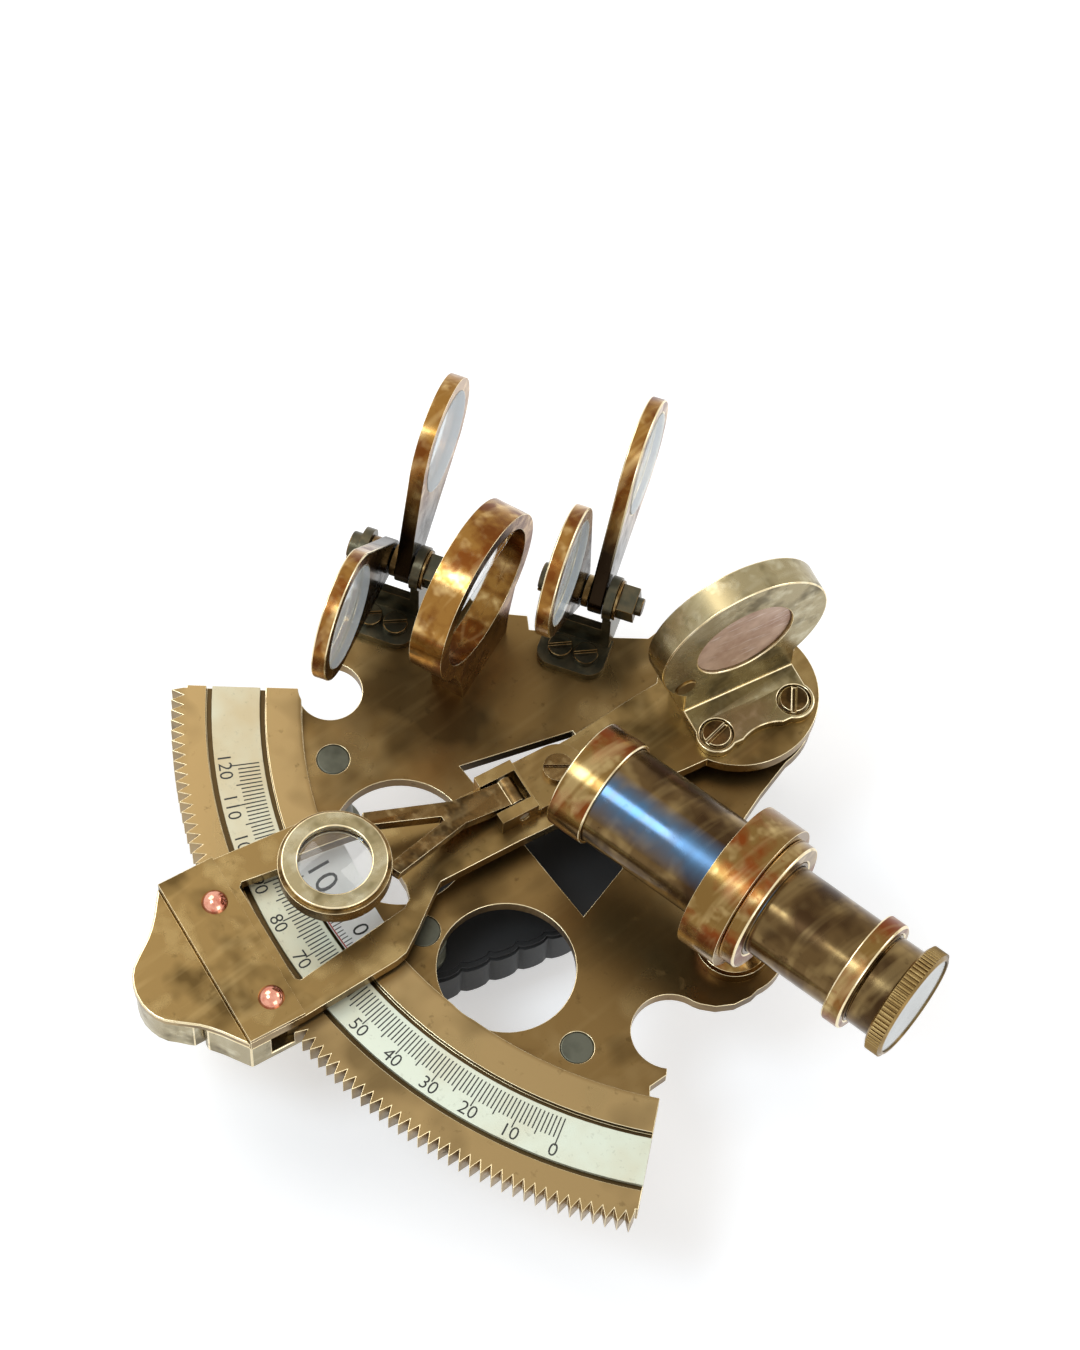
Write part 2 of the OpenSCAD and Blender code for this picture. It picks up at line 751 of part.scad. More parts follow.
// Right edge of the tail: a hollow curve that runs into a rounded end
tail_w = [[13.2, 0], [11.4, 1.3], [9.7, 2.5], [8.4, 3.6], [7.4, 4.6], [6.4, 5.9], [5.4, 7.2],
    [4.5, 8.3], [3.4, 9.1], [2.2, 9.6], [0.9, 9.9]];

module tail_2d(m = 0) {
    k = (tail_end - clamp_outer)/10.2;
    e = [for (w = tail_w) [w[0] - m, -clamp_outer - w[1]*k + (w[1] > 7 ? m : 0)]];
    polygon(concat(e, mirrored(e)));
}

module tail_plate() {
    peg_z = pawl_z0 + 0.4;
    color("#8d7642") at_arm() {
        translate([0, 0, tail_z]) linear_extrude(tail_t) tail_2d();
        translate([0, peg_y, peg_z]) cylinder(r = peg_r, h = tail_z - peg_z + eps, $fn = 24);
    }
}

module clamp_rivets() {
    dome_h = 1.3;
    dome_r = (rivet_r*rivet_r + dome_h*dome_h)/(2*dome_h);
    color("#c8735a") rivet_places() {
        translate([0, 0, z_arm]) cylinder(r = screw_r, h = arm_t + cover_t + eps, $fn = 32);
        translate([0, 0, z_arm_top + cover_t]) intersection() {
            translate([0, 0, dome_h - dome_r]) sphere(r = dome_r);
            cylinder(r = rivet_r + cut, h = 2*dome_h);
        }
    }
}

// Pawl at rest is drawn back clear of the rack; its teeth match the rack
pawl_free = 0.4;

module pawl_2d() {
    tip = rack_tip_r + pawl_free;
    height = rack_tip_r - rack_root_r - 0.15;
    half = tooth_deg/2 - 0.08;
    for (k = [-1:1]) polygon([
        limb_pt(tip, k*tooth_deg), limb_pt(tip + height, k*tooth_deg + half),
        limb_pt(clamp_wall + 0.6, k*tooth_deg + half), limb_pt(clamp_wall + 0.6, k*tooth_deg - half),
        limb_pt(tip + height, k*tooth_deg - half)]);
    translate([-pawl_half, -clamp_outer - pawl_travel - 1])
        square([2*pawl_half, clamp_outer + pawl_travel + 1 - clamp_wall - 0.2]);
}

// The moving thumb piece: narrow between the cheeks, then the outline of the tail
module thumb_2d() {
    near = clamp_outer + pawl_travel + tail_gap;
    narrow_end = ear_end + pawl_travel + tail_gap;
    difference() {
        tail_2d(0.2);
        translate([-2*frame_half_w, -near]) square([4*frame_half_w, near]);
        for (s = [-1, 1]) translate([s*(ear_x - tail_gap + frame_half_w), -narrow_end/2])
            square([2*frame_half_w, narrow_end], center = true);
    }
}

module rack_pawl() {
    low_top = tail_z - 0.15;
    color("#a89058") at_arm() difference() {
        union() {
            translate([0, 0, pawl_z0]) linear_extrude(pawl_h) pawl_2d();
            translate([0, 0, thumb_z]) linear_extrude(low_top - thumb_z) thumb_2d();
        }
        translate([-pocket_half, pocket_y0, pawl_z0])
            cube([2*pocket_half, pocket_y1 - pocket_y0, leg_h]);
    }
}

// Coil of wire as one tube: points on a helix along -Y, each with a small ring of corners
module wire_coil(r, wire, len, turns, steps = 12, sides = 6) {
    n = turns*steps;
    path = [for (i = [0:n]) [r*cos(360*i/steps), -len*i/n, r*sin(360*i/steps)]];
    rings = [for (i = [0:n]) for (j = [0:sides - 1]) let(
        out = [cos(360*i/steps), 0, sin(360*i/steps)], b = 360*j/sides)
        path[i] + wire*(cos(b)*out + [0, sin(b), 0])];
    faces = concat(
        [[for (j = [0:sides - 1]) j]],
        [for (i = [0:n - 1]) for (j = [0:sides - 1])
            [i*sides + j, (i + 1)*sides + j, (i + 1)*sides + (j + 1) % sides, i*sides + (j + 1) % sides]],
        [[for (j = [sides - 1:-1:0]) n*sides + j]]);
    polyhedron(points = rings, faces = faces, convexity = 8);
}

spring_wire = 0.2;
spring_r = 1.15;
spring_turns = 5;
spring_lift = 1.9;

module pawl_spring() {
    start = pocket_y1 - 0.05 - spring_wire;
    room = start - (peg_y + peg_r) - 2*spring_wire;
    color("#b9b9b0") at_arm() translate([0, start, pawl_z0 + spring_lift])
        wire_coil(spring_r, spring_wire, room, spring_turns);
}

// Magnifier

module at_loupe() { at_arm() translate([loupe_x, 0, 0]) children(); }

module magnifier_bracket() {
    z0 = z_arm_top + run;
    color("#83693a") at_loupe() difference() {
        union() {
            translate([0, loupe_screw_y, z0]) cylinder(r = bracket_half, h = bracket_t);
            translate([-bracket_half, bracket_front, z0])
                cube([2*bracket_half, loupe_screw_y - bracket_front, bracket_t]);
            translate([-bracket_half, bracket_front, z0])
                cube([2*bracket_half, hinge_y + 2.2 - bracket_front, lug_h]);
        }
        translate([0, loupe_screw_y, z0 - cut]) cylinder(r = screw_r + run, h = bracket_t + 2*cut);
        translate([-slot_half, bracket_front - cut, z0 - cut])
            cube([2*slot_half, hinge_y + 1.9 - bracket_front + cut, lug_h + 2*cut]);
        translate([-bracket_half - cut, hinge_y, z_arm_top + hinge_h])
            rotate([0, 90, 0]) cylinder(r = pin_r + fit, h = 2*bracket_half + 2*cut);
    }
}

module magnifier_screw() {
    color("#3a352a") at_loupe() translate([0, loupe_screw_y, z_arm_top + 2*run + bracket_t])
        rotate([0, 0, 60]) screw(bracket_t + 2*run + arm_t - 0.2, bracket_half - 1.9, 0.9);
}

module magnifier_pin() {
    color("#8f8f88") at_loupe() translate([-bracket_half + 0.2, hinge_y, z_arm_top + hinge_h])
        rotate([0, 90, 0]) cylinder(r = pin_r, h = 2*bracket_half - 0.4);
}

fork_y = -44.5;
fork_w = 1.8;
loupe_rise = z_loupe + 0.4 - z_arm_top - hinge_h;
loupe_lean = atan(loupe_rise/(loupe_reach + hinge_y - loupe_r + 1));

// Wishbone in plan: one stem from the hinge, two legs to the ring
module wishbone_2d() {
    end_y = -loupe_reach + loupe_r - 1.2;
    half_end = 5.2;
    stem = 1.9;
    polygon([
        [stem, 1], [stem, fork_y - hinge_y], [half_end, end_y - hinge_y],
        [half_end - fork_w, end_y - hinge_y - 1], [0.35, fork_y - hinge_y - 2.6],
        [-0.35, fork_y - hinge_y - 2.6], [fork_w - half_end, end_y - hinge_y - 1],
        [-half_end, end_y - hinge_y], [-stem, fork_y - hinge_y], [-stem, 1]]);
}

module magnifier_arm() {
    bar_t = 1.7;
    z_hinge = z_arm_top + hinge_h;
    color("#8a6d33") at_loupe() difference() {
        union() {
            translate([-slot_half + 0.3, hinge_y, z_hinge]) rotate([0, 90, 0])
                cylinder(r = hinge_h - 0.35, h = 2*slot_half - 0.6);
            translate([0, hinge_y, z_hinge]) rotate([-loupe_lean, 0, 0])
                translate([0, 0, -0.9]) linear_extrude(bar_t) wishbone_2d();
            translate([0, -loupe_reach, z_loupe]) cylinder(r = loupe_r, h = loupe_t);
        }
        translate([-slot_half, hinge_y, z_hinge]) rotate([0, 90, 0])
            cylinder(r = pin_r + run, h = 2*slot_half);
        translate([0, -loupe_reach, z_loupe - 4]) cylinder(r = loupe_glass_r, h = 12);
        translate([0, -loupe_reach, z_loupe + 0.5]) cylinder(r = loupe_glass_r + 0.5 + fit, h = 6);
        translate([0, -loupe_reach, z_loupe + loupe_t]) cylinder(r = loupe_r + 0.6, h = 6);
    }
}

module magnifier_lens() {
    color("#cfe0e6") at_loupe() translate([0, -loupe_reach, z_loupe + 0.5])
        cylinder(r = loupe_glass_r + 0.5, h = loupe_t - 0.5);
}

module magnifier_retainer() {
    color("#b08a3c") at_loupe() translate([0, -loupe_reach, z_loupe + loupe_t])
        ring(loupe_r - 0.5, loupe_glass_r, retainer_t);
}

// Index mirror

module at_index() { rotate([0, 0, index_mirror_deg]) children(); }

module at_index_ring(x) {
    at_index() translate([x, 0, z_sight]) rotate([0, 90, 0]) children();
}

foot_lobe_r = 2.9;
foot_wide = 8.6;
// Depth of the sunk screw heads, wall of the glass seat and the rivet beside the foot
sunk = 0.7;
seat_wall = 1.5;
foot_rivet_r = 1.5;
foot_rivet_in = 1.2;

module index_foot_2d() {
    back = index_face - index_ring_w;
    difference() {
        union() {
            translate([back, -foot_wide]) square([index_screw[0] - back, 2*foot_wide]);
            translate([0, -index_screw[1]]) square([index_screw[0] + 2.4, 2*index_screw[1]]);
            for (s = [-1, 1]) translate([index_screw[0], s*index_screw[1]]) circle(r = foot_lobe_r);
        }
        translate([index_screw[0] + 8.2, 0]) circle(r = 6.6);
        for (s = [-1, 1]) translate([index_screw[0], s*index_screw[1]]) circle(r = screw_r + fit);
    }
}

module index_mirror_frame() {
    color("#a8894a") difference() {
        union() {
            at_index() translate([0, 0, z_arm_top]) linear_extrude(index_foot_t) index_foot_2d();
            at_index_ring(index_face - index_ring_w) cylinder(r = mirror_r, h = index_ring_w);
            at_index() translate([index_face - index_ring_w, -foot_wide, z_arm_top])
                cube([index_ring_w, 2*foot_wide, z_sight - z_arm_top - index_hole_r - 1.4]);
        }
        at_index() for (s = [-1, 1])
            translate([index_screw[0], s*index_screw[1], z_arm_top + index_foot_t - sunk])
                cylinder(r = index_head_r + 0.35, h = 4);
        at_index_ring(index_face - index_ring_w - cut) cylinder(r = index_hole_r, h = index_ring_w + 2*cut);
        at_index_ring(index_face - index_ring_w - cut)
            cylinder(r = mirror_r - seat_wall + fit, h = glass_seat + cut);
        at_index_ring(index_face - foot_rivet_in) translate([rivet_low, rivet_side, 0])
            cylinder(r = foot_rivet_r + fit, h = 4, $fn = 32);
    }
}

module index_mirror_glass() {
    sunk_back = 0.5;
    color("#dfe6ea") at_index_ring(index_face - index_ring_w + sunk_back)
        cylinder(r = mirror_r - seat_wall, h = glass_seat - sunk_back);
}

module index_mirror_backing() {
    color("#c39a86") at_index_ring(index_face - index_ring_w + glass_seat)
        cylinder(r = index_hole_r - fit, h = index_ring_w - glass_seat - 0.5);
}

module index_mirror_rivet() {
    color("#9a7a40") at_index_ring(index_face - foot_rivet_in) translate([rivet_low, rivet_side, 0])
        cylinder(r = foot_rivet_r, h = foot_rivet_in + 0.3, $fn = 32);
}

module index_mirror_screws() {
    color("#5e5234") at_index() for (s = [-1, 1])
        translate([index_screw[0], s*index_screw[1], z_arm_top + index_foot_t - sunk])
            rotate([0, 0, 40 - 70*s]) screw(index_foot_t - sunk + arm_t - 0.2, index_head_r, 1);
}

// Horizon mirror

module at_horizon(x) {
    translate([horizon_pos[0], horizon_pos[1], z_sight])
        rotate([0, 0, horizon_deg]) rotate([0, 90, 0]) translate([0, 0, x]) children();
}

module horizon_frame() {
    drop = z_sight - z_web;
    color("#b07c34") difference() {
        union() {
            at_horizon(-horizon_ring_w/2) cylinder(r = mirror_r, h = horizon_ring_w);
            at_horizon(-horizon_ring_w/2) linear_extrude(horizon_ring_w) polygon([
                [drop, -horizon_foot], [drop, horizon_foot], [drop - 4, horizon_foot + 0.4],
                [mirror_r*0.72, mirror_r*0.66], [mirror_r*0.72, -mirror_r*0.66],
                [drop - 4, -horizon_foot - 0.4]]);
        }
        at_horizon(-horizon_ring_w/2 - cut) cylinder(r = horizon_glass_r, h = horizon_ring_w + 2*cut);
        at_horizon(horizon_seat_x) cylinder(r = horizon_glass_r + seat_lip + fit, h = horizon_ring_w);
        horizon_screw_places() cylinder(r = screw_r + fit, h = web_t + horizon_thread + 0.4);
    }
}

module half_glass(side) {
    at_horizon(horizon_seat_x) intersection() {
        cylinder(r = horizon_glass_r + seat_lip, h = glass_t + 0.6);
        translate([side*(mirror_r + half_gap) - mirror_r, -mirror_r, -cut])
            cube([2*mirror_r, 2*mirror_r, glass_t + 0.6 + 2*cut]);
    }
}

module horizon_clear_glass() { color("#cfe3e8") half_glass(-1); }

module horizon_mirror_glass() { color("#9aa3a6") half_glass(1); }

module horizon_screws() {
    color("#6a5a34") horizon_screw_places() mirror([0, 0, 1]) screw(web_t + horizon_thread);
}

// Shades

module ear(x) {
    translate([x, 0, 0]) rotate([90, 0, 90]) difference() {
        union() {
            cylinder(r = ear_r, h = ear_t);
            translate([-2.4, -bolt_h, 0]) cube([2.4 + ear_r, bolt_h, ear_t]);
        }
        translate([0, 0, -cut]) cylinder(r = shade_bolt_r + fit, h = ear_t + 2*cut);
    }
}

module shade_brackets() {
    corner = 2.4;
    wall_h = 5.5;
    color("#2e2519") at_both_sets() {
        difference() {
            union() {
                ear(left_ear_x0);
                ear(right_ear_x0);
                translate([foot_left, -2.4, -bolt_h])
                    cube([right_ear_x0 + ear_t - foot_left, 1.2, wall_h]);
                translate([0, 0, -bolt_h]) linear_extrude(foot_t) polygon(concat(
                    [[foot_left, -1.2]],
                    arc([foot_left + corner, foot_front + corner], corner, 180, 270, 8),
                    arc([foot_right - corner, foot_front + corner], corner, 270, 360, 8),
                    [[foot_right, -1.2]]));
            }
            for (s = [-1, 1]) translate([s*foot_screw_x, foot_screw_y, -bolt_h - cut])
                cylinder(r = screw_r + fit, h = foot_t + 2*cut);
        }
    }
}

bolt_end_x = right_ear_x0 + ear_t + ring_washer_t + shade_nut_w + 0.9;

module shade_bolts() {
    head_w = 1.6;
    color("#241e16") at_both_sets() rotate([0, 90, 0]) difference() {
        union() {
            translate([0, 0, left_ear_x0 - head_w])
                cylinder(r = shade_bolt_r + 0.8, h = head_w, $fn = 32);
            translate([0, 0, left_ear_x0 - eps])
                cylinder(r = shade_bolt_r, h = bolt_end_x - left_ear_x0);
        }
        translate([-slot_w/2, -4, left_ear_x0 - head_w - cut]) cube([slot_w, 8, 0.8 + cut]);
    }
}

module shade_nuts() {
    color("#241e16") at_both_sets()
        translate([right_ear_x0 + ear_t + ring_washer_t, 0, 0]) rotate([0, 90, 0]) difference() {
            rotate([0, 0, 12]) translate([-nut_side/2, -nut_side/2, 0])
                cube([nut_side, nut_side, shade_nut_w]);
            translate([0, 0, -cut]) cylinder(r = shade_bolt_r + fit, h = shade_nut_w + 2*cut);
        }
}

module shade_washers() {
    color("#6b6152") at_both_sets() {
        translate([right_ear_x0 + ear_t, 0, 0]) rotate([0, 90, 0])
            ring(eye_r + 0.2, shade_bolt_r + fit, ring_washer_t);
        translate([left_ear_x0 + ear_t, 0, 0]) rotate([0, 90, 0])
            ring(eye_r - 0.3, shade_bolt_r + fit, front_x0 - left_ear_x0 - ear_t - side_gap/2);
        translate([front_x0 + shade_w + side_gap/2, 0, 0]) rotate([0, 90, 0])
            ring(eye_r - 0.4, shade_bolt_r + fit, back_x0 - front_x0 - shade_w - side_gap);
    }
}

module shade_screws() {
    color("#2e2519") shade_screw_places() translate([0, 0, foot_t])
        rotate([0, 0, 25]) screw(foot_t + web_t - 0.2, 1.75, 0.9);
}

// One shade in the plane of its own ring, hinge at the origin, ring along +Y. The two
// edges of the stem run straight from the boss to the ring and touch both as tangents.
seat_depth = shade_w - glass_t + 0.1;

module shade_blank() {
    a = asin((shade_r - eye_r)/shade_reach);
    big = shade_r - 0.04;
    small = eye_r - 0.04;
    difference() {
        union() {
            cylinder(r = eye_r, h = shade_w);
            translate([0, shade_reach, 0]) cylinder(r = shade_r, h = shade_w);
            linear_extrude(shade_w) polygon([
                [-small*cos(a), -small*sin(a)], [small*cos(a), -small*sin(a)],
                [big*cos(a), shade_reach - big*sin(a)], [-big*cos(a), shade_reach - big*sin(a)]]);
        }
        translate([0, 0, -cut]) cylinder(r = shade_bolt_r + run, h = shade_w + 2*cut);
        translate([0, shade_reach, -cut]) cylinder(r = shade_glass_r - 0.5, h = shade_w + 2*cut);
        translate([0, shade_reach, seat_depth]) cylinder(r = shade_glass_r + fit, h = shade_w);
    }
}

module shade_disc() {
    translate([0, shade_reach, seat_depth]) cylinder(r = shade_glass_r, h = glass_t);
}

// Turn a shade from its own plane to its set, leaning forwards by deg
module swung(pos, axis, x, deg) {
    at_set(pos, axis) translate([x, 0, 0]) rotate([deg, 0, 0]) rotate([90, 0, 90]) children();
}

module shade_ring(pos, axis, x, deg) {
    color("#a6762f") swung(pos, axis, x, deg) shade_blank();
}

module shade_glass(pos, axis, x, deg) {
    color("#cfe0ea") swung(pos, axis, x, deg) shade_disc();
}

module shade_1_front_ring() {
    shade_ring(shade_1_pos, shade_1_axis, front_x0, shade_1_front_deg);
}

module shade_1_back_ring() {
    shade_ring(shade_1_pos, shade_1_axis, back_x0, shade_1_back_deg);
}

module shade_2_front_ring() {
    shade_ring(shade_2_pos, shade_2_axis, front_x0, shade_2_front_deg);
}

module shade_2_back_ring() {
    shade_ring(shade_2_pos, shade_2_axis, back_x0, shade_2_back_deg);
}

module shade_1_front_glass() {
    shade_glass(shade_1_pos, shade_1_axis, front_x0, shade_1_front_deg);
}

module shade_1_back_glass() {
    shade_glass(shade_1_pos, shade_1_axis, back_x0, shade_1_back_deg);
}

module shade_2_front_glass() {
    shade_glass(shade_2_pos, shade_2_axis, front_x0, shade_2_front_deg);
}

module shade_2_back_glass() {
    shade_glass(shade_2_pos, shade_2_axis, back_x0, shade_2_back_deg);
}

frame_plate();
scale_arc();
limb_legs();
apex_leg();
handle_grip();
handle_posts();
handle_screws();
arbor_bearing();
thrust_washer();
scope_mount();
scope_mount_screw();
main_tube();
objective_collar();
objective_lens();
step_collar();
draw_tube();
draw_ring();
eyepiece_barrel();
eyepiece_cap();
eye_lens();
index_arm();
arbor();
arbor_washer();
arbor_nut();
vernier_plate();
clamp_cover();
clamp_body();
tail_plate();
clamp_rivets();
rack_pawl();
pawl_spring();
magnifier_bracket();
magnifier_screw();
magnifier_pin();
magnifier_arm();
magnifier_lens();
magnifier_retainer();
index_mirror_frame();
index_mirror_glass();
index_mirror_backing();
index_mirror_screws();
index_mirror_rivet();
horizon_frame();
horizon_clear_glass();
horizon_mirror_glass();
horizon_screws();
shade_brackets();
shade_bolts();
shade_nuts();
shade_washers();
shade_screws();
shade_1_front_ring();
shade_1_back_ring();
shade_2_front_ring();
shade_2_back_ring();
shade_1_front_glass();
shade_1_back_glass();
shade_2_front_glass();
shade_2_back_glass();
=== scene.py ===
import json
import logging
import math
from dataclasses import dataclass, field, replace
from enum import Enum
from typing import Any

import bmesh
import bpy
from mathutils import Matrix, Vector


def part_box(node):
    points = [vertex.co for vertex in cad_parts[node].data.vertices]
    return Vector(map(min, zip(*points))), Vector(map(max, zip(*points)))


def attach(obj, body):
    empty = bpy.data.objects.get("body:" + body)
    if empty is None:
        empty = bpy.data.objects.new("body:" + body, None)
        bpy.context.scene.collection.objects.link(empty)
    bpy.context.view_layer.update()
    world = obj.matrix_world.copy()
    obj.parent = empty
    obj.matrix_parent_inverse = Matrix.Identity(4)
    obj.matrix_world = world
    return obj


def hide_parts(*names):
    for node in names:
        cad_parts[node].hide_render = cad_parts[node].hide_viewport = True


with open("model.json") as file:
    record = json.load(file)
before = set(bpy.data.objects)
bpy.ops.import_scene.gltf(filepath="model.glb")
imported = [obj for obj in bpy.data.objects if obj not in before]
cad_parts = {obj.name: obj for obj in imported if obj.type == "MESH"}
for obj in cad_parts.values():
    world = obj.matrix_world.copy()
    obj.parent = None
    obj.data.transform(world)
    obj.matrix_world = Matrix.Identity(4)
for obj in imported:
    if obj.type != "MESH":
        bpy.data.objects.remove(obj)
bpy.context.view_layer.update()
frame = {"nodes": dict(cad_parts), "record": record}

# A brass pocket sextant: every CAD node is dressed as one piece that rides on its own body.
LOG = logging.getLogger("sextant")

# One millimetre in the frame's metres; sizes below are in millimetres unless they say otherwise
MM = 0.001

# The arm rests seven and a half teeth from the middle of a rack with 310 teeth to the circle
TOOTH_DEG = 360.0 / 310.0
ARM_REST_DEG = -7.5 * TOOTH_DEG

# Edges and joints between faces that meet at more than this count as sharp
SHARP_DEG = 32.0
# Vertices closer than this are one, in metres
MERGE_M = 2e-6
# Faces within this angle of one another are flat enough to join
FLAT_DEG = 0.4
# Height of the ink over the face it is on, and depth of a line's body
INK_RISE = 0.01
FIGURE_RISE = 0.012
LINE_BODY = 0.03

Colour = tuple[float, float, float]


def top_mm(node: str) -> float:
    """Height of a CAD node's highest point above the resting plane."""
    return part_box(node)[1].z / MM


def linear(red: int, green: int, blue: int) -> Colour:
    """Turns an 8-bit screen colour into the linear values that shaders use.

    Args:
        red, green, blue: Channels from 0 to 255.

    Returns:
        The three linear channels from 0 to 1.
    """
    def one(channel: int) -> float:
        """Returns one channel in linear light."""
        share = channel / 255.0
        return share / 12.92 if share <= 0.04045 else ((share + 0.055) / 1.055) ** 2.4

    return one(red), one(green), one(blue)


class Value:
    """A number in a node tree. Arithmetic on it adds Math nodes to its graph."""

    def __init__(self, graph: "Graph", socket: bpy.types.NodeSocket) -> None:
        """Wraps one output socket of the graph."""
        self.graph = graph
        self.socket = socket

    def _math(self, operation: str, *terms: Any) -> "Value":
        """Adds one Math node.

        Args:
            operation: Name of the Math node's operation.
            terms: Numbers or values, in the order of its inputs.

        Returns:
            The result as a new value.
        """
        return self.graph.add("ShaderNodeMath", {"operation": operation}, dict(enumerate(terms)))

    def __add__(self, other: Any) -> "Value":
        """Sum."""
        return self._math("ADD", self, other)

    __radd__ = __add__

    def __sub__(self, other: Any) -> "Value":
        """Difference."""
        return self._math("SUBTRACT", self, other)

    def __rsub__(self, other: Any) -> "Value":
        """Reflected difference, for 1 - mask."""
        return self._math("SUBTRACT", other, self)

    def __mul__(self, other: Any) -> "Value":
        """Product."""
        return self._math("MULTIPLY", self, other)

    __rmul__ = __mul__

    def __mod__(self, other: Any) -> "Value":
        """Remainder."""
        return self._math("MODULO", self, other)

    def __lt__(self, other: Any) -> "Value":
        """1 where this value is below the other, else 0."""
        return self._math("LESS_THAN", self, other)

    def __gt__(self, other: Any) -> "Value":
        """1 where this value is above the other, else 0."""
        return self._math("GREATER_THAN", self, other)

    def sine(self) -> "Value":
        """Sine of the value, in radians."""
        return self._math("SINE", self)

    def cosine(self) -> "Value":
        """Cosine of the value, in radians."""
        return self._math("COSINE", self)

    def within(self, low: float, high: float) -> "Value":
        """Maps low to high onto 0 to 1, clamped.

        Args:
            low: Value that becomes 0.
            high: Value that becomes 1.

        Returns:
            The clamped share.
        """
        return self.graph.add(
            "ShaderNodeMapRange", {"clamp": True},
            {"Value": self, "From Min": low, "From Max": high, "To Min": 0.0, "To Max": 1.0})


class Graph:
    """A node tree under construction, for a material or for Geometry Nodes."""

    def __init__(self, tree: bpy.types.NodeTree) -> None:
        """Takes an empty tree."""
        self.tree = tree

    def node(self, kind: str, settings: dict[str, Any] | None = None,
             inputs: dict[Any, Any] | None = None) -> bpy.types.Node:
        """Adds any node.

        Args:
            kind: Blender's node type.
            settings: Attributes that are set first, such as a Math node's operation.
            inputs: Socket names or numbers with the values or links that they get.

        Returns:
            The node.
        """
        made = self.tree.nodes.new(kind)
        for key, value in (settings or {}).items():
            setattr(made, key, value)
        for key, value in (inputs or {}).items():
            self.feed(made.inputs[key], value)
        return made

    def add(self, kind: str, settings: dict[str, Any] | None = None,
            inputs: dict[Any, Any] | None = None, output: Any = 0) -> Value:
        """Adds a node and returns one of its outputs as a value."""
        return Value(self, self.node(kind, settings, inputs).outputs[output])

    def feed(self, socket: bpy.types.NodeSocket, value: Any) -> None:
        """Links or sets one input socket."""
        if isinstance(value, Value):
            self.tree.links.new(value.socket, socket)
        elif isinstance(value, bpy.types.NodeSocket):
            self.tree.links.new(value, socket)
        elif isinstance(value, tuple) and len(value) == 3 and socket.type == "RGBA":
            socket.default_value = (*value, 1.0)
        else:
            socket.default_value = value


class Shader(Graph):
    """A material with a Principled surface."""

    NOISE_ROUGHNESS = 0.6

    def __init__(self, name: str) -> None:
        """Starts an empty material of that name."""
        self.material = bpy.data.materials.new(name)
        self.material.use_nodes = True
        self.material.node_tree.nodes.clear()
        super().__init__(self.material.node_tree)
        self.place = self.add("ShaderNodeTexCoord", output="Object")

    def noise(self, size_mm: float, detail: float = 3.0, stretch: tuple[float, float, float] = (1, 1, 1),
              turn_deg: float = 0.0) -> Value:
        """Cloudy noise on Object coordinates.

        Args:
            size_mm: Size of its patches.
            detail: Octaves.
            stretch: How much each axis is compressed.
            turn_deg: Turn of the pattern about Z.

        Returns:
            A value from 0 to 1.
        """
        mapped = self.node(
            "ShaderNodeMapping", None,
            {"Vector": self.place, "Rotation": (0.0, 0.0, math.radians(turn_deg)), "Scale": stretch})
        return self.add(
            "ShaderNodeTexNoise", {"noise_dimensions": "3D"},
            {"Vector": mapped.outputs[0], "Scale": 1.0 / (size_mm * MM), "Detail": detail,
             "Roughness": self.NOISE_ROUGHNESS}, "Fac")

    def radius(self, centre: tuple[float | None, float | None, float | None]) -> Value:
        """Distance of the shaded point from a centre.

        Args:
            centre: Coordinates in millimetres; None leaves that axis out.

        Returns:
            The distance in metres.
        """
        parts = self.node("ShaderNodeSeparateXYZ", None, {0: self.place})
        total: Any = 0.0
        for number, middle in enumerate(centre):
            if middle is not None:
                offset = Value(self, parts.outputs[number]) - middle * MM
                total = offset * offset + total
        return self.add("ShaderNodeMath", {"operation": "SQRT"}, {0: total})

    def mix(self, share: Any, first: Any, second: Any) -> Value:
        """Mixes two colours.

        Args:
            share: 0 gives the first, 1 the second.
            first: A colour or a value.
            second: A colour or a value.

        Returns:
            The mixed colour.
        """
        node = self.node("ShaderNodeMix", {"data_type": "RGBA"})
        self.feed(node.inputs[0], share)
        self.feed(node.inputs[6], first)
        self.feed(node.inputs[7], second)
        return Value(self, node.outputs[2])

    def surface(self, inputs: dict[str, Any], bump: Value | None = None,
                bump_mm: float = 0.02) -> bpy.types.Material:
        """Closes the material with a Principled surface.

        Args:
            inputs: Socket names and values of the Principled node.
            bump: Height field from 0 to 1, if the surface has one.
            bump_mm: Height of the field.

        Returns:
            The finished material.
        """
        shade = self.node("ShaderNodeBsdfPrincipled", None, inputs)
        if bump is not None:
            raised = self.node(
                "ShaderNodeBump", None, {"Strength": 1.0, "Distance": bump_mm * MM, "Height": bump})
            self.feed(shade.inputs["Normal"], raised.outputs[0])
        self.node("ShaderNodeOutputMaterial", None, {"Surface": shade.outputs[0]})
        return self.material


@dataclass(frozen=True)
class PaintedReflectionBand:
    """Painted reflection: a bluish band that runs along a tube, on one side of its top, standing in for the
    mirrored image of a bluish lamp.
    """

    start: tuple[float, float]
    turn_deg: float
    colour: Colour
    middle: float = 3.0
    half: float = 2.2
    soft: float = 1.1

    def share(self, shader: "Shader") -> Value:
        """Strength of the band at the shaded point.

        Args:
            shader: The material it is for.

        Returns:
            A value from 0 to 1.
        """
        turn = math.radians(self.turn_deg)
        parts = shader.node("ShaderNodeSeparateXYZ", None, {0: shader.place})
        across = ((Value(shader, parts.outputs[0]) - self.start[0] * MM) * math.sin(turn)
                  - (Value(shader, parts.outputs[1]) - self.start[1] * MM) * math.cos(turn))
        low, high, soft = (self.middle - self.half) * MM, (self.middle + self.half) * MM, self.soft * MM
        return across.within(low - soft, low + soft) * across.within(high + soft, high - soft)


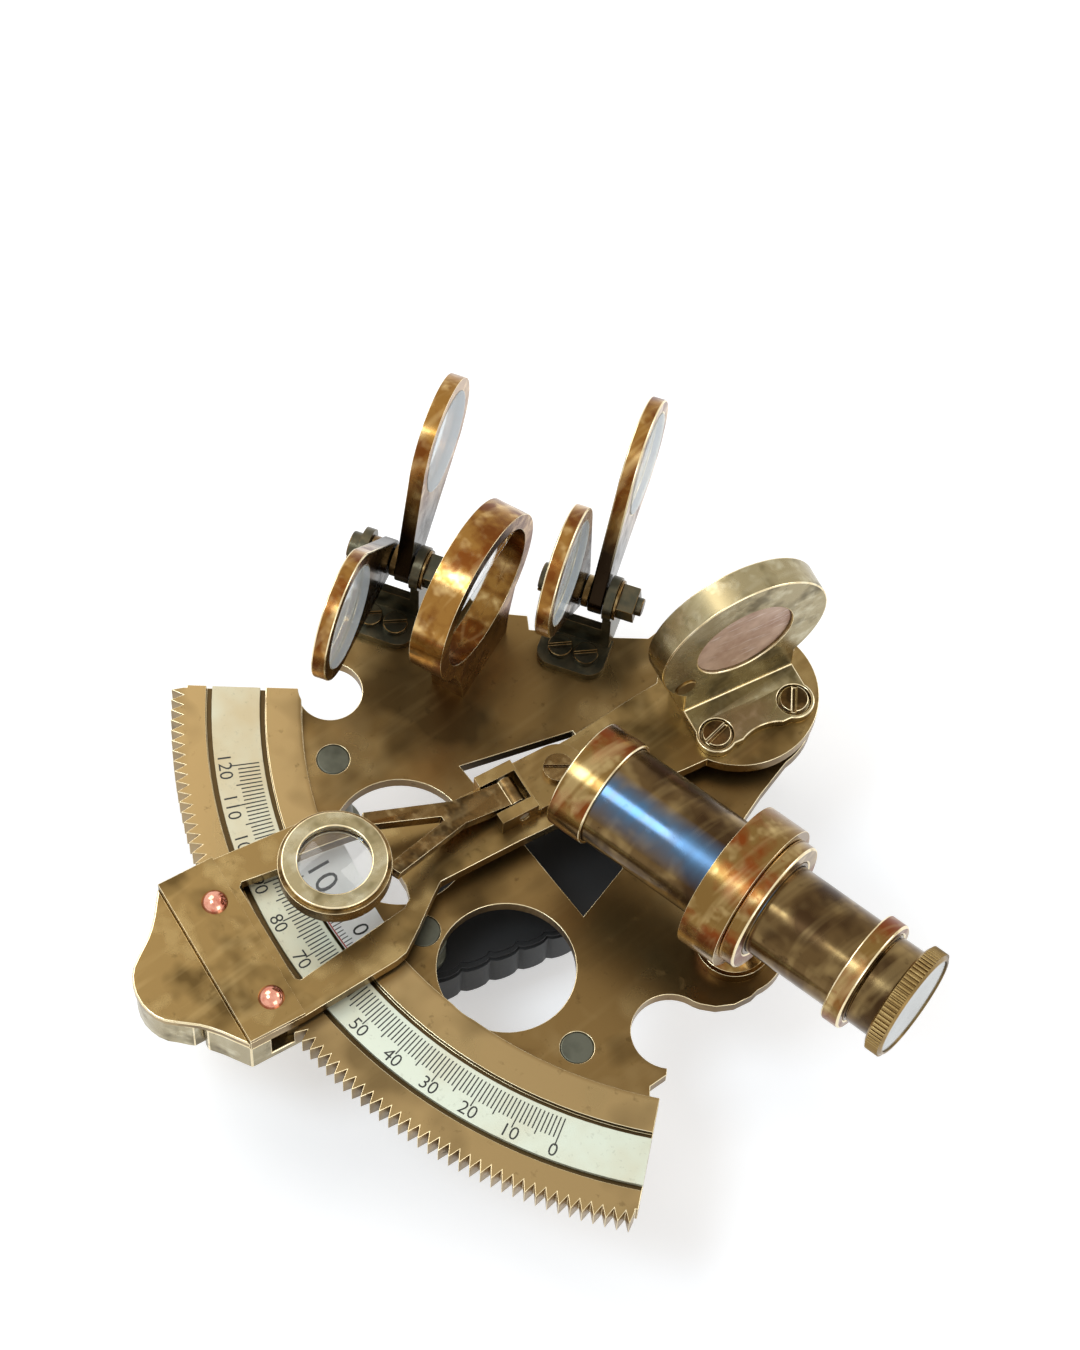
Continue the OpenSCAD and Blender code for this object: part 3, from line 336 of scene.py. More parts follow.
@dataclass(frozen=True)
class Brass:
    """Handled brass: a mottled body, darker stains, pale patches that are partly polish and partly painted
    highlight, and streaks that are partly polishing marks and partly painted reflection.
    """

    body: Colour
    stain: Colour
    # Pale brass of the patches and streaks: partly polished metal, partly painted highlight and reflection
    bright: Colour
    rough: float = 0.3
    patch_mm: float = 14.0
    streak_deg: float = 35.0
    streaks: float = 0.25
    stain_level: float = 0.5
    limb: Colour | None = None
    limb_mm: tuple[float, float] = (60.6, 61.4)
    # Painted shade: rings darkened in the grooves beside the scale, and the colour of that shade
    grooves_mm: tuple[tuple[float, float], ...] = ()
    groove: Colour = linear(52, 38, 20)
    # Painted reflection band along a tube, if the finish has one
    band: PaintedReflectionBand | None = None
    dark_at: tuple[float, float, float] | None = None
    dark_mm: tuple[float, float] = (12.0, 4.0)
    dark: Colour = linear(40, 30, 20)

    # How much of its colour each layer lays over the ones below
    WEAR_AND_HIGHLIGHT = 0.55
    STAINED = 0.85
    SPOTTED = 0.4
    GROOVED = 0.85
    # Share of the stains that the raised limb lacks, and least strength of the painted reflection band
    CLEANER_LIMB = 0.25
    BAND_BASE = 0.4
    # Width of a stain's edge in noise, and of a groove's edge in millimetres
    STAIN_EDGE = 0.14
    GROOVE_EDGE = 0.1
    BUMP_MM = 0.006

    def make(self, name: str) -> bpy.types.Material:
        """Builds the material.

        Args:
            name: Material name.

        Returns:
            The material.
        """
        shader = Shader(name)
        cloud = shader.noise(self.patch_mm)
        bloom = shader.noise(self.patch_mm * 0.45, 2.0)
        grain = shader.noise(1.6, 4.0)
        streak = shader.noise(2.2, 2.0, (1.0, 0.08, 0.3), self.streak_deg)
        stained = cloud.within(self.stain_level, self.stain_level + self.STAIN_EDGE)
        wear_and_highlight = bloom.within(0.52, 0.72)
        spots = grain.within(0.62, 0.72)
        body = self.body
        if self.limb is not None:
            on_limb = shader.radius((0.0, 0.0, None)).within(*(r * MM for r in self.limb_mm))
            body = shader.mix(on_limb, body, self.limb)
            stained = stained * (1 - on_limb * self.CLEANER_LIMB)
        # Pale patches: partly polished wear, partly painted highlight
        colour = shader.mix(wear_and_highlight * self.WEAR_AND_HIGHLIGHT, body, self.bright)
        colour = shader.mix(stained * self.STAINED, colour, self.stain)
        # Streaks along one direction: partly polishing marks, partly painted reflection
        colour = shader.mix(streak.within(0.52, 0.7) * self.streaks, colour, self.bright)
        colour = shader.mix(spots * self.SPOTTED, colour, self.stain)
        # Painted shade: the grooves beside the scale are darkened where shade falls in them
        for inner, outer in self.grooves_mm:
            out = shader.radius((0.0, 0.0, None))
            in_groove = (out.within((inner - self.GROOVE_EDGE) * MM, inner * MM)
                         * out.within((outer + self.GROOVE_EDGE) * MM, outer * MM))
            colour = shader.mix(in_groove * self.GROOVED, colour, self.groove)
        # Painted reflection: the bluish band along the tube is laid into the colour
        if self.band is not None:
            colour = shader.mix(
                self.band.share(shader) * (self.BAND_BASE + streak), colour, self.band.colour)
        if self.dark_at is not None:
            near = shader.radius(self.dark_at).within(*(r * MM for r in self.dark_mm))
            colour = shader.mix(near, colour, self.dark)
        rough = self.rough + stained * 0.12 + spots * 0.14 - wear_and_highlight * 0.05
        return shader.surface(
            {"Base Color": colour, "Metallic": 1.0, "Roughness": rough},
            grain * 0.6 + streak * 0.4, self.BUMP_MM)


@dataclass(frozen=True)
class Silvering:
    """Silvered brass of the scale: pale, with fine brushing along the arc and a few tarnish clouds."""

    body: Colour
    warm: Colour
    tarnish: Colour = linear(120, 118, 96)
    rough: float = 0.42
    # Where along X the cold side ends and the warm side begins, in metres
    sides_m: tuple[float, float] = (0.012, -0.040)

    def make(self, name: str) -> bpy.types.Material:
        """Builds the material named name and returns it."""
        shader = Shader(name)
        cloud = shader.noise(11.0)
        grain = shader.noise(0.7, 3.0)
        split = shader.node("ShaderNodeSeparateXYZ", None, {0: shader.place})
        side = Value(shader, split.outputs[0]).within(*self.sides_m)
        tone = (cloud.within(0.35, 0.75) * 0.5 + side * 0.5).within(0.1, 0.9)
        colour = shader.mix(tone, self.body, self.warm)
        colour = shader.mix(grain.within(0.6, 0.75) * 0.25, colour, self.tarnish)
        return shader.surface(
            {"Base Color": colour, "Metallic": 0.35, "Roughness": self.rough}, grain, 0.004)


@dataclass(frozen=True)
class Plain:
    """A finish of one colour with a little cloudiness."""

    body: Colour
    other: Colour
    metal: float = 0.0
    rough: float = 0.4
    patch_mm: float = 5.0
    bump_mm: float = 0.004
    coat: float = 0.0

    def make(self, name: str) -> bpy.types.Material:
        """Builds the material named name and returns it."""
        shader = Shader(name)
        cloud = shader.noise(self.patch_mm)
        grain = shader.noise(0.8)
        colour = shader.mix(cloud.within(0.4, 0.7), self.body, self.other)
        return shader.surface(
            {"Base Color": colour, "Metallic": self.metal, "Coat Weight": self.coat,
             "Roughness": self.rough + cloud * 0.1 - 0.05}, grain, self.bump_mm)


@dataclass(frozen=True)
class Glass:
    """Clear or tinted glass."""

    tint: Colour
    rough: float = 0.02

    def make(self, name: str) -> bpy.types.Material:
        """Builds the material named name and returns it."""
        shader = Shader(name)
        return shader.surface(
            {"Base Color": self.tint, "Roughness": self.rough, "IOR": 1.5, "Transmission Weight": 1.0})


@dataclass(frozen=True)
class ScratchedPaint:
    """Thin protective paint on the back of the index mirror, rubbed by a cloth."""

    body: Colour
    pale: Colour
    scratch: Colour = (0.82, 0.72, 0.66)

    def make(self, name: str) -> bpy.types.Material:
        """Builds the material named name and returns it."""
        shader = Shader(name)
        cloud = shader.noise(4.0)
        rub = shader.noise(0.9, 2.0, (0.5, 0.25, 2.4), 20.0)
        colour = shader.mix(cloud.within(0.35, 0.7), self.body, self.pale)
        colour = shader.mix(rub.within(0.6, 0.68) * 0.5, colour, self.scratch)
        return shader.surface({"Base Color": colour, "Metallic": 0.25, "Roughness": 0.38}, rub, 0.01)


class Finish(Enum):
    """Every finish on the instrument."""

    PLATE = Brass(
        linear(124, 98, 58), linear(66, 50, 27), linear(158, 134, 90), rough=0.3, patch_mm=20.0,
        streak_deg=52.0, streaks=0.12, limb=linear(160, 134, 90),
        # Grooves beside the scale, painted dark as shade
        grooves_mm=((65.8, 66.6), (73.3, 74.1)))
    ARM = Brass(
        linear(138, 112, 68), linear(76, 58, 30), linear(186, 160, 108), rough=0.28, patch_mm=12.0,
        streak_deg=62.0)
    # Edge brass for the rounded edges, much paler than the faces: partly rubbed metal, partly painted
    # highlight
    EDGE = Brass(
        linear(236, 218, 176), linear(150, 122, 76), linear(250, 240, 214), rough=0.2, patch_mm=5.0,
        streak_deg=0.0, streaks=0.1, stain_level=0.58)
    BRIGHT = Brass(
        linear(156, 112, 54), linear(104, 50, 15), linear(242, 208, 144), rough=0.18, patch_mm=6.0,
        streak_deg=75.0, streaks=0.4, stain_level=0.47)
    RING = Brass(
        linear(128, 98, 52), linear(118, 50, 13), linear(212, 186, 130), rough=0.2, patch_mm=7.0,
        streak_deg=80.0, streaks=0.4, stain_level=0.46)
    TUBE = Brass(
        linear(98, 76, 46), linear(54, 36, 21), linear(168, 142, 94), rough=0.18, patch_mm=11.0,
        streak_deg=13.0, streaks=0.3, stain_level=0.47)
    MIRROR_RING = Brass(
        linear(158, 144, 108), linear(98, 86, 56), linear(206, 198, 168), rough=0.26, patch_mm=6.0)
    HINGE = Brass(
        linear(112, 86, 50), linear(52, 38, 20), linear(190, 164, 116), rough=0.26, patch_mm=4.0)
    LEG = Plain(linear(96, 96, 82), linear(68, 68, 56), metal=0.75, rough=0.36)
    SILVER = Silvering(linear(224, 230, 210), linear(206, 188, 148))
    BLACKENED = Plain(
        linear(74, 72, 58), linear(100, 90, 68), metal=0.9, rough=0.3, patch_mm=2.5, bump_mm=0.03)
    STEEL = Plain(linear(150, 148, 140), linear(112, 108, 98), metal=1.0, rough=0.3)
    COPPER = Plain(linear(238, 172, 146), linear(204, 112, 88), metal=1.0, rough=0.16, patch_mm=1.2)
    # Black paint, made darker still as painted shade for the grip that sits in shade under the plate
    GRIP = Plain(linear(5, 6, 7), linear(10, 12, 13), rough=0.55, patch_mm=6.0, bump_mm=0.02)
    IVORY = Plain(linear(242, 242, 238), linear(232, 232, 226), rough=0.35)
    LENS = Glass((0.97, 0.99, 1.0))
    EYE_LENS = Plain(
        linear(128, 138, 138), linear(104, 114, 114), metal=0.3, rough=0.14, bump_mm=0.0, coat=0.4)
    SHADE_GLASS = Glass((0.80, 0.89, 0.94))
    MIRROR = Plain(
        linear(214, 220, 222), linear(206, 212, 214), metal=1.0, rough=0.06, patch_mm=30.0, bump_mm=0.0)
    PAINT = ScratchedPaint(linear(168, 132, 110), linear(206, 176, 154))
    INK = Plain(linear(30, 30, 26), linear(44, 42, 36), rough=0.55, patch_mm=1.0)
    RED = Plain(linear(170, 34, 30), linear(196, 60, 48), rough=0.5, patch_mm=1.0)

    def material(self) -> bpy.types.Material:
        """Returns this finish's material, made on first use."""
        name = self.name.lower()
        return bpy.data.materials.get(name) or self.value.make(name)


def body_of_node(node: str) -> str:
    """Returns the moving body that carries a CAD node."""
    for body, nodes in frame["record"]["behaviour"]["bodies"].items():
        if node in nodes:
            return body
    raise KeyError(node)


def link(name: str, mesh: bpy.types.Mesh, finish: Finish) -> bpy.types.Object:
    """Puts a mesh in the scene as a new piece.

    Args:
        name: Object name.
        mesh: The mesh, already in place.
        finish: Its finish.

    Returns:
        The object.
    """
    obj = bpy.data.objects.new(name, mesh)
    bpy.context.scene.collection.objects.link(obj)
    mesh.materials.clear()
    mesh.materials.append(finish.material())
    return obj


def smooth(mesh: bpy.types.Mesh, angle_deg: float = SHARP_DEG) -> None:
    """Shades a mesh smooth, with sharp edges past the angle."""
    mesh.shade_smooth()
    mesh.set_sharp_from_angle(angle=math.radians(angle_deg))


@dataclass
class Piece:
    """One visible piece that stands for a CAD node: its merged mesh with rounded edges that show wear.

    edge_mm is the width of the rounded edges, edge their finish where it differs, which is partly rubbed
    metal and partly painted highlight, segments their steps, and own a material that takes the finish's place
    on the faces.
    """

    node: str
    finish: Finish
    edge_mm: float = 0.16
    edge: Finish | None = None
    segments: int = 2
    own: bpy.types.Material | None = None

    def build(self) -> bpy.types.Object:
        """Makes the piece and lets it ride on its node's body.

        Returns:
            The new object.
        """
        mesh = frame["nodes"][self.node].data.copy()
        merged = bmesh.new()
        merged.from_mesh(mesh)
        bmesh.ops.remove_doubles(merged, verts=merged.verts, dist=MERGE_M)
        bmesh.ops.dissolve_limit(
            merged, angle_limit=math.radians(FLAT_DEG), verts=merged.verts, edges=merged.edges)
        merged.to_mesh(mesh)
        merged.free()
        smooth(mesh)
        obj = link(f"{self.node}_piece", mesh, self.finish)
        if self.own is not None:
            mesh.materials[0] = self.own
        if self.edge_mm > 0:
            bevel = obj.modifiers.new("worn edges", "BEVEL")
            bevel.width = self.edge_mm * MM
            bevel.segments = self.segments
            bevel.limit_method = "ANGLE"
            bevel.angle_limit = math.radians(SHARP_DEG)
            bevel.harden_normals = True
            # The rounded edges take the edge finish: partly rubbed metal, partly painted highlight
            if self.edge is not None:
                mesh.materials.append(self.edge.material())
                bevel.material = 1
        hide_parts(self.node)
        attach(obj, body_of_node(self.node))
        LOG.info("%s: %d faces", obj.name, len(mesh.polygons))
        return obj


class Pattern(Graph):
    """A Geometry Nodes tree with named inputs that ends in Realize Instances and Set Material."""

    def __init__(self, name: str, numbers: dict[str, float]) -> None:
        """Makes an empty tree.

        Args:
            name: Name of the tree.
            numbers: Named inputs with their values; whole numbers become integer inputs.
        """
        super().__init__(bpy.data.node_groups.new(name, "GeometryNodeTree"))
        self.numbers = numbers
        self.identifiers: dict[str, str] = {}
        for label, value in numbers.items():
            kind = "NodeSocketInt" if isinstance(value, int) else "NodeSocketFloat"
            made = self.tree.interface.new_socket(label, in_out="INPUT", socket_type=kind)
            self.identifiers[label] = made.identifier
        self.tree.interface.new_socket("Geometry", in_out="OUTPUT", socket_type="NodeSocketGeometry")
        self.source = self.node("NodeGroupInput")

    def given(self, label: str) -> Value:
        """Returns a named input as a value."""
        return Value(self, self.source.outputs[label])

    def close(self, geometry: Value, finish: Finish) -> None:
        """Ends the tree.

        Args:
            geometry: What the tree has made.
            finish: The finish that it gets.
        """
        solid = self.add("GeometryNodeRealizeInstances", None, {0: geometry})
        dressed = self.add(
            "GeometryNodeSetMaterial", None, {"Geometry": solid, "Material": finish.material()})
        self.node("NodeGroupOutput", None, {0: dressed})

    def bake(self, name: str, finish: Finish, place: Matrix | None = None) -> bpy.types.Object:
        """Runs the tree once and keeps its result as a plain mesh.

        Args:
            name: Object name.
            finish: Finish of the baked piece.
            place: Where the result goes, if not where the tree made it.

        Returns:
            The finished object at the origin.
        """
        carrier = bpy.data.objects.new("carrier", bpy.data.meshes.new("carrier"))
        bpy.context.scene.collection.objects.link(carrier)
        modifier = carrier.modifiers.new("pattern", "NODES")
        modifier.node_group = self.tree
        for label, identifier in self.identifiers.items():
            modifier[identifier] = self.numbers[label]
        bpy.context.view_layer.update()
        depsgraph = bpy.context.evaluated_depsgraph_get()
        mesh = bpy.data.meshes.new_from_object(carrier.evaluated_get(depsgraph))
        carrier.modifiers.remove(modifier)
        bpy.data.objects.remove(carrier)
        mesh.transform(place or Matrix.Identity(4))
        obj = link(name, mesh, finish)
        LOG.info("%s: %d faces from a pattern", name, len(mesh.polygons))
        return obj


@dataclass
class Divisions:
    """Engraved lines on an arc, with longer ones at the fives and tens."""

    radius: float
    count: int
    first_deg: float
    step_deg: float
    height: float
    short: float = 3.0
    middle: float = 3.6
    long: float = 4.1
    width: float = 0.17
    outwards: float = 1.0

    def build(self, name: str, finish: Finish) -> bpy.types.Object:
        """Makes all lines as one mesh.

        Args:
            name: Object name.
            finish: Colour of the filled lines.

        Returns:
            The object, not yet riding on a body.
        """
        tree = Pattern(name, {
            "Count": self.count, "Radius": self.radius * MM, "First angle": math.radians(self.first_deg),
            "Step": math.radians(self.step_deg), "Short": self.short * MM, "Middle": self.middle * MM,
            "Long": self.long * MM, "Width": self.width * MM, "Height": self.height * MM})
        index = tree.add("GeometryNodeInputIndex")
        angle = tree.given("First angle") + index * tree.given("Step")
        five = (index % 5) < 0.5
        ten = (index % 10) < 0.5
        length = (tree.given("Short") + five * (tree.given("Middle") - tree.given("Short"))
                  + ten * (tree.given("Long") - tree.given("Middle")))
        reach = tree.given("Radius") + length * (0.5 * self.outwards)
        place = tree.add("ShaderNodeCombineXYZ", None, {
            0: angle.sine() * reach, 1: angle.cosine() * reach * -1.0, 2: tree.given("Height")})
        points = tree.add("GeometryNodeMeshLine", {"mode": "OFFSET"}, {"Count": tree.given("Count")})
        laid = tree.add("GeometryNodeSetPosition", None, {"Geometry": points, "Position": place})
        cube = tree.add("GeometryNodeMeshCube", None, {"Size": (1.0, 1.0, 1.0)})
        turn = tree.add("ShaderNodeCombineXYZ", None, {0: 0.0, 1: 0.0, 2: angle})
        size = tree.add("ShaderNodeCombineXYZ", None, {
            0: tree.given("Width"), 1: length, 2: LINE_BODY * MM})
        marks = tree.add("GeometryNodeInstanceOnPoints", None, {
            "Points": laid, "Instance": cube, "Rotation": turn, "Scale": size})
        tree.close(marks, finish)
        return tree.bake(name, finish)


@dataclass
class Ribs:
    """Straight knurling round a cap: wedge ribs along its axis."""

    count: int
    radius: float
    length: float
    depth: float
    # Facets of one rib, and its radius as a share of the knurl's depth
    facets: int = 8
    fullness: float = 0.96

    def build(self, name: str, finish: Finish, place: Matrix) -> bpy.types.Object:
        """Makes the ribs round the Z axis from z = 0 and moves them.

        Args:
            name: Object name.
            finish: Their finish.
            place: Where the cap's axis and start are.

        Returns:
            The object, not yet riding on a body.
        """
        tree = Pattern(name, {"Count": self.count, "Radius": (self.radius - self.depth) * MM,
                              "Length": self.length * MM, "Depth": self.depth * MM})
        index = tree.add("GeometryNodeInputIndex")
        angle = index * (2.0 * math.pi / self.count)
        place_on_rim = tree.add("ShaderNodeCombineXYZ", None, {
            0: angle.cosine() * tree.given("Radius"), 1: angle.sine() * tree.given("Radius"),
            2: tree.given("Length") * 0.5})
        points = tree.add("GeometryNodeMeshLine", {"mode": "OFFSET"}, {"Count": tree.given("Count")})
        laid = tree.add("GeometryNodeSetPosition", None, {"Geometry": points, "Position": place_on_rim})
        rib = tree.add("GeometryNodeMeshCylinder", None, {
            "Vertices": self.facets, "Radius": tree.given("Depth") * self.fullness,
            "Depth": tree.given("Length")})
        turn = tree.add("ShaderNodeCombineXYZ", None, {0: 0.0, 1: 0.0, 2: angle})
        row = tree.add("GeometryNodeInstanceOnPoints", None, {
            "Points": laid, "Instance": rib, "Rotation": turn})
        tree.close(row, finish)
        obj = tree.bake(name, finish, place)
        smooth(obj.data, angle_deg=50.0)
        return obj


@dataclass
class Coil:
    """A compression spring drawn as one wire."""

    radius: float
    wire: float
    length: float
    turns: float

    def build(self, name: str, finish: Finish, place: Matrix) -> bpy.types.Object:
        """Makes the coil up the Z axis and moves it.

        Args:
            name: Object name.
            finish: Its finish.
            place: Where it starts and which way it runs.

        Returns:
            The object, not yet riding on a body.
        """
        tree = Pattern(name, {"Radius": self.radius * MM, "Wire": self.wire * MM,
                              "Length": self.length * MM, "Turns": float(self.turns)})
        spiral = tree.add("GeometryNodeCurveSpiral", None, {
            "Resolution": 24, "Rotations": tree.given("Turns"), "Start Radius": tree.given("Radius"),
            "End Radius": tree.given("Radius"), "Height": tree.given("Length")})
        profile = tree.add("GeometryNodeCurvePrimitiveCircle", None, {
            "Resolution": 10, "Radius": tree.given("Wire")})
        wire = tree.add("GeometryNodeCurveToMesh", None, {
            "Curve": spiral, "Profile Curve": profile, "Fill Caps": True})
        tree.close(wire, finish)
        obj = tree.bake(name, finish, place)
        smooth(obj.data, angle_deg=60.0)
        return obj


def figure(text: str, size_mm: float, place: Matrix, finish: Finish, name: str) -> bpy.types.Object:
    """Cuts a number as a flat mesh.

    Args:
        text: The number.
        size_mm: Height of the letters' body.
        place: Its centre and turn.
        finish: Colour of the filling.
        name: Object name.

    Returns:
        The object, not yet riding on a body.
    """
    curve = bpy.data.curves.new(name, "FONT")
    curve.body = text
    curve.size = size_mm * MM
    curve.align_x = "CENTER"
    curve.align_y = "CENTER"
    curve.extrude = FIGURE_RISE * MM
    curve.offset = -FIGURE_RISE * MM
    curve.resolution_u = 3
    letters = bpy.data.objects.new(name, curve)
    bpy.context.scene.collection.objects.link(letters)
    bpy.context.view_layer.update()
    depsgraph = bpy.context.evaluated_depsgraph_get()
    mesh = bpy.data.meshes.new_from_object(letters.evaluated_get(depsgraph))
    bpy.data.objects.remove(letters)
    mesh.transform(place)
    return link(name, mesh, finish)


def join(name: str, objs: list[bpy.types.Object]) -> bpy.types.Object:
    """Joins pieces of one finish into one object.

    Args:
        name: Name of the result.
        objs: The pieces; they are removed.

    Returns:
        The joined object.
    """
    whole = bmesh.new()
    material = objs[0].data.materials[0]
    for obj in objs:
        whole.from_mesh(obj.data)
        bpy.data.objects.remove(obj)
    mesh = bpy.data.meshes.new(name)
    whole.to_mesh(mesh)
    whole.free()
    joined = bpy.data.objects.new(name, mesh)
    bpy.context.scene.collection.objects.link(joined)
    mesh.materials.append(material)
    return joined


def lathe(name: str, profile: list[tuple[float, float]], place: Matrix, finish: Finish,
          steps: int = 96) -> bpy.types.Object:
    """Turns a closed profile of (radius, height) points about Z.

    Args:
        name: Object name.
        profile: Points in millimetres, up the outside; both ends may lie on the axis.
        place: Where the axis stands.
        finish: The finish.
        steps: Facets round the axis.

    Returns:
        The object, not yet riding on a body.
    """
    work = bmesh.new()
    rings = []
    for radius, height in profile:
        if radius <= 0:
            rings.append([work.verts.new((0, 0, height * MM))])
        else:
            rings.append([work.verts.new((
                radius * MM * math.cos(2 * math.pi * k / steps),
                radius * MM * math.sin(2 * math.pi * k / steps), height * MM)) for k in range(steps)])
    for low, high in zip(rings, rings[1:] + rings[:1]):
        if len(low) == 1 and len(high) == 1:
            continue
        for k in range(steps):
            n = (k + 1) % steps
            corners = [low[k % len(low)], low[n % len(low)], high[n % len(high)], high[k % len(high)]]
            work.faces.new(list(dict.fromkeys(corners)))
    bmesh.ops.recalc_face_normals(work, faces=work.faces)
    mesh = bpy.data.meshes.new(name)
    work.to_mesh(mesh)
    work.free()
    smooth(mesh, angle_deg=35.0)
    mesh.transform(place)
    return link(name, mesh, finish)


def lens(node: str, radius: float, thick: float, sag: float, place: Matrix) -> bpy.types.Object:
    """Builds a lens with two bulging faces in place of a CAD disc.

    Args:
        node: The disc.
        radius: Radius in millimetres.
        thick: Thickness at the middle.
        sag: Height of each bulge.
        place: Its axis, with the middle of its first face at the start.

    Returns:
        The lens, riding on the disc's body.
    """
    steps = 10
    ball = (radius * radius + sag * sag) / (2 * sag)
    radii = [radius * k / steps for k in range(steps + 1)]
    first = [(r, ball - math.sqrt(ball * ball - r * r)) for r in radii]
    second = [(r, thick - height) for r, height in reversed(first)]
    made = lathe(f"{node}_curved", first + second, place, Finish.LENS)
    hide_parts(node)
    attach(made, body_of_node(node))
    return made


def axis_place(origin: Vector, axis: Vector) -> Matrix:
    """Returns the matrix that stands the Z axis at origin along axis."""
    return Matrix.Translation(origin) @ axis.to_track_quat("Z", "Y").to_matrix().to_4x4()


def arm_point(across: float, along: float, height: float) -> Vector:
    """Turns a place on the resting index arm into the row frame.

    Args:
        across: Millimetres to the right of the arm's middle line.
        along: Millimetres from the index axis towards the limb.
        height: Millimetres above the resting plane.

    Returns:
        The place in metres.
    """
    turn = Matrix.Rotation(math.radians(ARM_REST_DEG), 4, "Z")
    return turn @ Vector((across * MM, -along * MM, height * MM))


def arm_place(across: float, along: float, height: float) -> Matrix:
    """Returns the matrix of a place on the arm, with Y along the arm towards the index axis."""
    turn = Matrix.Rotation(math.radians(ARM_REST_DEG), 4, "Z")
    return Matrix.Translation(arm_point(across, along, height)) @ turn


@dataclass
class Limb:
    """The frame plate with its scale, rack, legs and grip."""

    edge_mm: float = 0.2
    tick_radius: float = 67.2
    figure_radius: float = 72.0
    figure_mm: float = 2.7
    last_reading: int = 120
    first_deg: float = 30.0
    step_deg: float = -0.5
    strip_top: float = field(default_factory=lambda: top_mm("scale_arc"))

    def build(self) -> None:
        """Builds the plate, the divided scale and what the plate stands on."""
        Piece("frame_plate", Finish.PLATE, self.edge_mm, Finish.EDGE).build()
        Piece("scale_arc", Finish.SILVER, 0.06).build()
        for node in ("limb_legs", "apex_leg"):
            Piece(node, Finish.LEG, 0.25).build()
        Piece("handle_posts", Finish.LEG, 0.2).build()
        Piece("handle_grip", Finish.GRIP, 0.5, segments=3).build()
        Piece("handle_screws", Finish.ARM, 0.1).build()
        for node in ("arbor_bearing", "thrust_washer"):
            Piece(node, Finish.BRIGHT, 0.1).build()
        self.divide()

    def divide(self) -> None:
        """Cuts the lines and figures of the scale."""
        lines = Divisions(
            self.tick_radius, self.last_reading + 1, self.first_deg, self.step_deg,
            self.strip_top + INK_RISE).build("scale_lines", Finish.INK)
        figures = []
        for reading in range(0, self.last_reading + 1, 10):
            angle = math.radians(self.first_deg + self.step_deg * reading)
            place = Matrix.Rotation(angle, 4, "Z") @ Matrix.Translation(
                (0, -self.figure_radius * MM, (self.strip_top + FIGURE_RISE) * MM))
            figures.append(figure(str(reading), self.figure_mm, place, Finish.INK, f"figure_{reading}"))
        marks = join("scale_marks", [lines, *figures])
        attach(marks, body_of_node("scale_arc"))


@dataclass
class Telescope:
    """The draw telescope on its post. Lengths along it start at its front."""

    start: tuple[float, float] = (1.7, -30.2)
    # Colour of the painted reflection band along the main tube's top
    blue: Colour = linear(74, 102, 128)
    turn_deg: float = 13.2
    objective_start: float = 0.9
    objective_radius: float = 6.78
    objective_thick: float = 1.8
    bulge: float = 0.5
    cap_start: float = 52.0
    cap_radius: float = 8.1
    cap_length: float = 2.6
    cap_lip: float = 0.9
    bore: float = 4.7
    seat: float = 1.0
    rib_depth: float = 0.3
    rib_margin: float = 0.3
    front_chamfer: float = 0.25
    end_chamfer: float = 0.3
    ribs: int = 72

    def station(self, along: float) -> Vector:
        """Returns the point on the telescope's axis at that many millimetres from its front."""
        turn = math.radians(self.turn_deg)
        return Vector(((self.start[0] + along * math.cos(turn)) * MM,
                       (self.start[1] + along * math.sin(turn)) * MM, self.sight_m))

    @property
    def sight_m(self) -> float:
        """Height of the line of sight, half way up the main tube, in metres."""
        low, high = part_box("main_tube")
        return (low.z + high.z) / 2

    @property
    def axis(self) -> Vector:
        """Direction from the objective to the eyepiece."""
        return (self.station(1.0) - self.station(0.0)).normalized()

    def build(self) -> None:
        """Builds the tubes, rings, lenses and the post."""
        Piece("scope_mount", Finish.RING, 0.3, Finish.EDGE).build()
        Piece("scope_mount_screw", Finish.ARM, 0.1).build()
        # The main tube's colour carries a painted reflection: a bluish band along one side of its top
        band = PaintedReflectionBand(self.start, self.turn_deg, self.blue)
        painted_reflection = replace(Finish.TUBE.value, band=band).make("tube_blued")
        Piece("main_tube", Finish.TUBE, 0.1, own=painted_reflection).build()
        Piece("objective_collar", Finish.RING, 0.25, Finish.EDGE).build()
        Piece("step_collar", Finish.RING, 0.3, Finish.EDGE).build()
        Piece("draw_tube", Finish.TUBE, 0.08).build()
        Piece("draw_ring", Finish.RING, 0.3, Finish.EDGE).build()
        Piece("eyepiece_barrel", Finish.TUBE, 0.1).build()
        Piece("eye_lens", Finish.EYE_LENS, 0.15).build()
        lens("objective_lens", self.objective_radius, self.objective_thick, self.bulge,
             axis_place(self.station(self.objective_start), self.axis))
        self.cap()

    def cap(self) -> None:
        """Builds the eyepiece cap with a fine straight knurl."""
        outer = self.cap_radius - self.rib_depth
        inner = self.cap_radius - self.cap_lip
        end = self.cap_length
        profile = [
            (self.bore, 0.0), (outer - self.front_chamfer, 0.0), (outer, self.front_chamfer),
            (outer, end - self.end_chamfer), (outer - self.end_chamfer, end),
            (inner, end), (inner, self.seat), (self.bore, self.seat)]
        place = axis_place(self.station(self.cap_start), self.axis)
        body = lathe("eyepiece_cap_turned", profile, place, Finish.ARM)
        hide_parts("eyepiece_cap")
        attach(body, body_of_node("eyepiece_cap"))
        start = axis_place(self.station(self.cap_start + self.rib_margin), self.axis)
        ribs = Ribs(self.ribs, self.cap_radius, end - 2 * self.rib_margin, self.rib_depth).build(
            "cap_knurl", Finish.ARM, start)
        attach(ribs, body_of_node("eyepiece_cap"))


